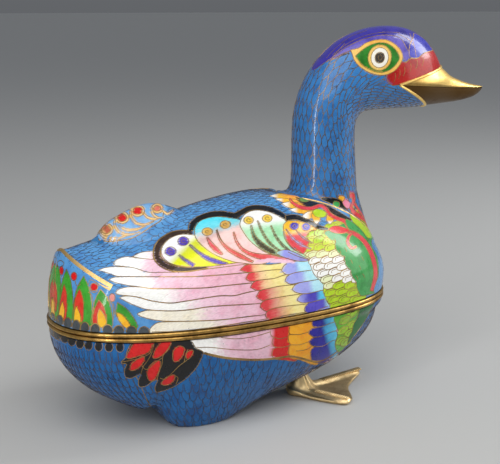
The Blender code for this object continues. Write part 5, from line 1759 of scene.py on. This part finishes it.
pieces = (
    (lid_shell, enamel, "enamel_wings", ("lid",)),
    (bowl_shell, enamel, "enamel_body", ("bowl",)),
    (head_shell, enamel, "enamel_body", ("neck_and_head",)),
    (lid_wires, wire_brass, "enamel_wings", ()),
    (bowl_wires, wire_brass, "enamel_body", ()),
    (head_wires, wire_brass, "enamel_body", ()),
    (lid_net, dark_brass, "enamel_wings", ()),
    (bowl_net, dark_brass, "enamel_body", ()),
    (neck_net, neck_brass, "enamel_body", ()),
    (lid_rim, rim_brass, "gilt_brass", ("lid_rim",)),
    (bowl_rim, rim_brass, "gilt_brass", ("bowl_rim",)),
    (tail_edge, edge_brass, "enamel_wings", ()),
    (neck_joint, edge_brass, "enamel_wings", ()),
    (beak, gilt, "gilt_brass", ("beak",)),
    (foot_right, foot_brass, "gilt_brass", ("foot_right",)),
    (foot_left, foot_brass, "gilt_brass", ("foot_left",)),
)
for piece, material, slot_name, nodes in pieces:
    piece.data.materials.clear()
    piece.data.materials.append(material)
    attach(piece, "root")
    if nodes:
        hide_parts(*nodes)
print(len(pieces), "pieces dressed")

# %% [markdown]
# ## Studio
# A plain pale floor, a large soft light high on the left, a tall strip on the left that draws the long
# light line on the neck, a window high on the right that lights forehead and beak, and a weak fill under it.
# The sky is darkest at the horizon, so that the far edge of the floor doesn't show. The camera stands where
# the photograph was taken.

# %% Floor, lights and camera
bpy.ops.mesh.primitive_plane_add(size=60.0, location=(0, 0, -0.0002))
floor = bpy.context.active_object
floor.name = "floor"
floor_paint = bpy.data.materials.new("pale floor")
floor_paint.use_nodes = True
floor_shader = floor_paint.node_tree.nodes["Principled BSDF"]
floor_shader.inputs["Base Color"].default_value = (0.50, 0.50, 0.49, 1.0)
floor_shader.inputs["Roughness"].default_value = 0.7
floor.data.materials.append(floor_paint)

world = bpy.data.worlds.new("studio")
bpy.context.scene.world = world
world.use_nodes = True
sky = world.node_tree
sky.nodes["Background"].inputs["Color"].default_value = (0.80, 0.84, 0.90, 1.0)
height = sky.nodes.new("ShaderNodeSeparateXYZ")
sky.links.new(sky.nodes.new("ShaderNodeTexCoord").outputs["Generated"], height.inputs[0])
sky.links.new(ramp(sky, height.outputs["Z"], 0.0, 0.5, 0.155, 0.36),
              sky.nodes["Background"].inputs["Strength"])


def soft_light(name, place, aim, wide, tall, power, tint):
    light = bpy.data.lights.new(name, "AREA")
    light.shape = "RECTANGLE"
    light.size, light.size_y = wide, tall
    light.energy = power
    light.color = tint
    lamp = bpy.data.objects.new(name, light)
    lamp.location = place
    lamp.rotation_euler = (Vector(aim) - Vector(place)).to_track_quat("-Z", "Y").to_euler()
    bpy.context.scene.collection.objects.link(lamp)


for light in (
    ("key", (-0.34, -0.66, 1.10), (0.0, 0.0, 0.08), 1.3, 1.3, 11.5, (1.0, 0.98, 0.95)),
    ("strip", (-0.50, -0.24, 0.24), (0.0, 0.0, 0.24), 0.035, 0.5, 0.9, (1.0, 1.0, 1.0)),
    ("window", (0.92, -0.20, 0.72), (0.06, 0.0, 0.16), 0.28, 0.66, 4.6, (0.97, 0.99, 1.0)),
    ("fill", (0.96, -0.46, 0.36), (0.07, 0.0, 0.15), 0.6, 0.6, 1.9, (1.0, 0.99, 0.97)),
):
    soft_light(*light)

camera = bpy.data.objects.new("camera", bpy.data.cameras.new("camera"))
SENSOR_WIDTH = 36.0
camera.data.sensor_width = SENSOR_WIDTH
camera.data.lens = SHEET_SCALE / SHEET_WIDTH * SENSOR_WIDTH
camera.location = to_part(sheet_eye).tolist()
camera.rotation_euler = (math.pi / 2 - SHEET_TILT, 0.0, SHEET_TURN)
bpy.context.scene.collection.objects.link(camera)
bpy.context.scene.camera = camera
bpy.context.scene.view_settings.view_transform = "Standard"

# %% Update the scene
bpy.context.view_layer.update()
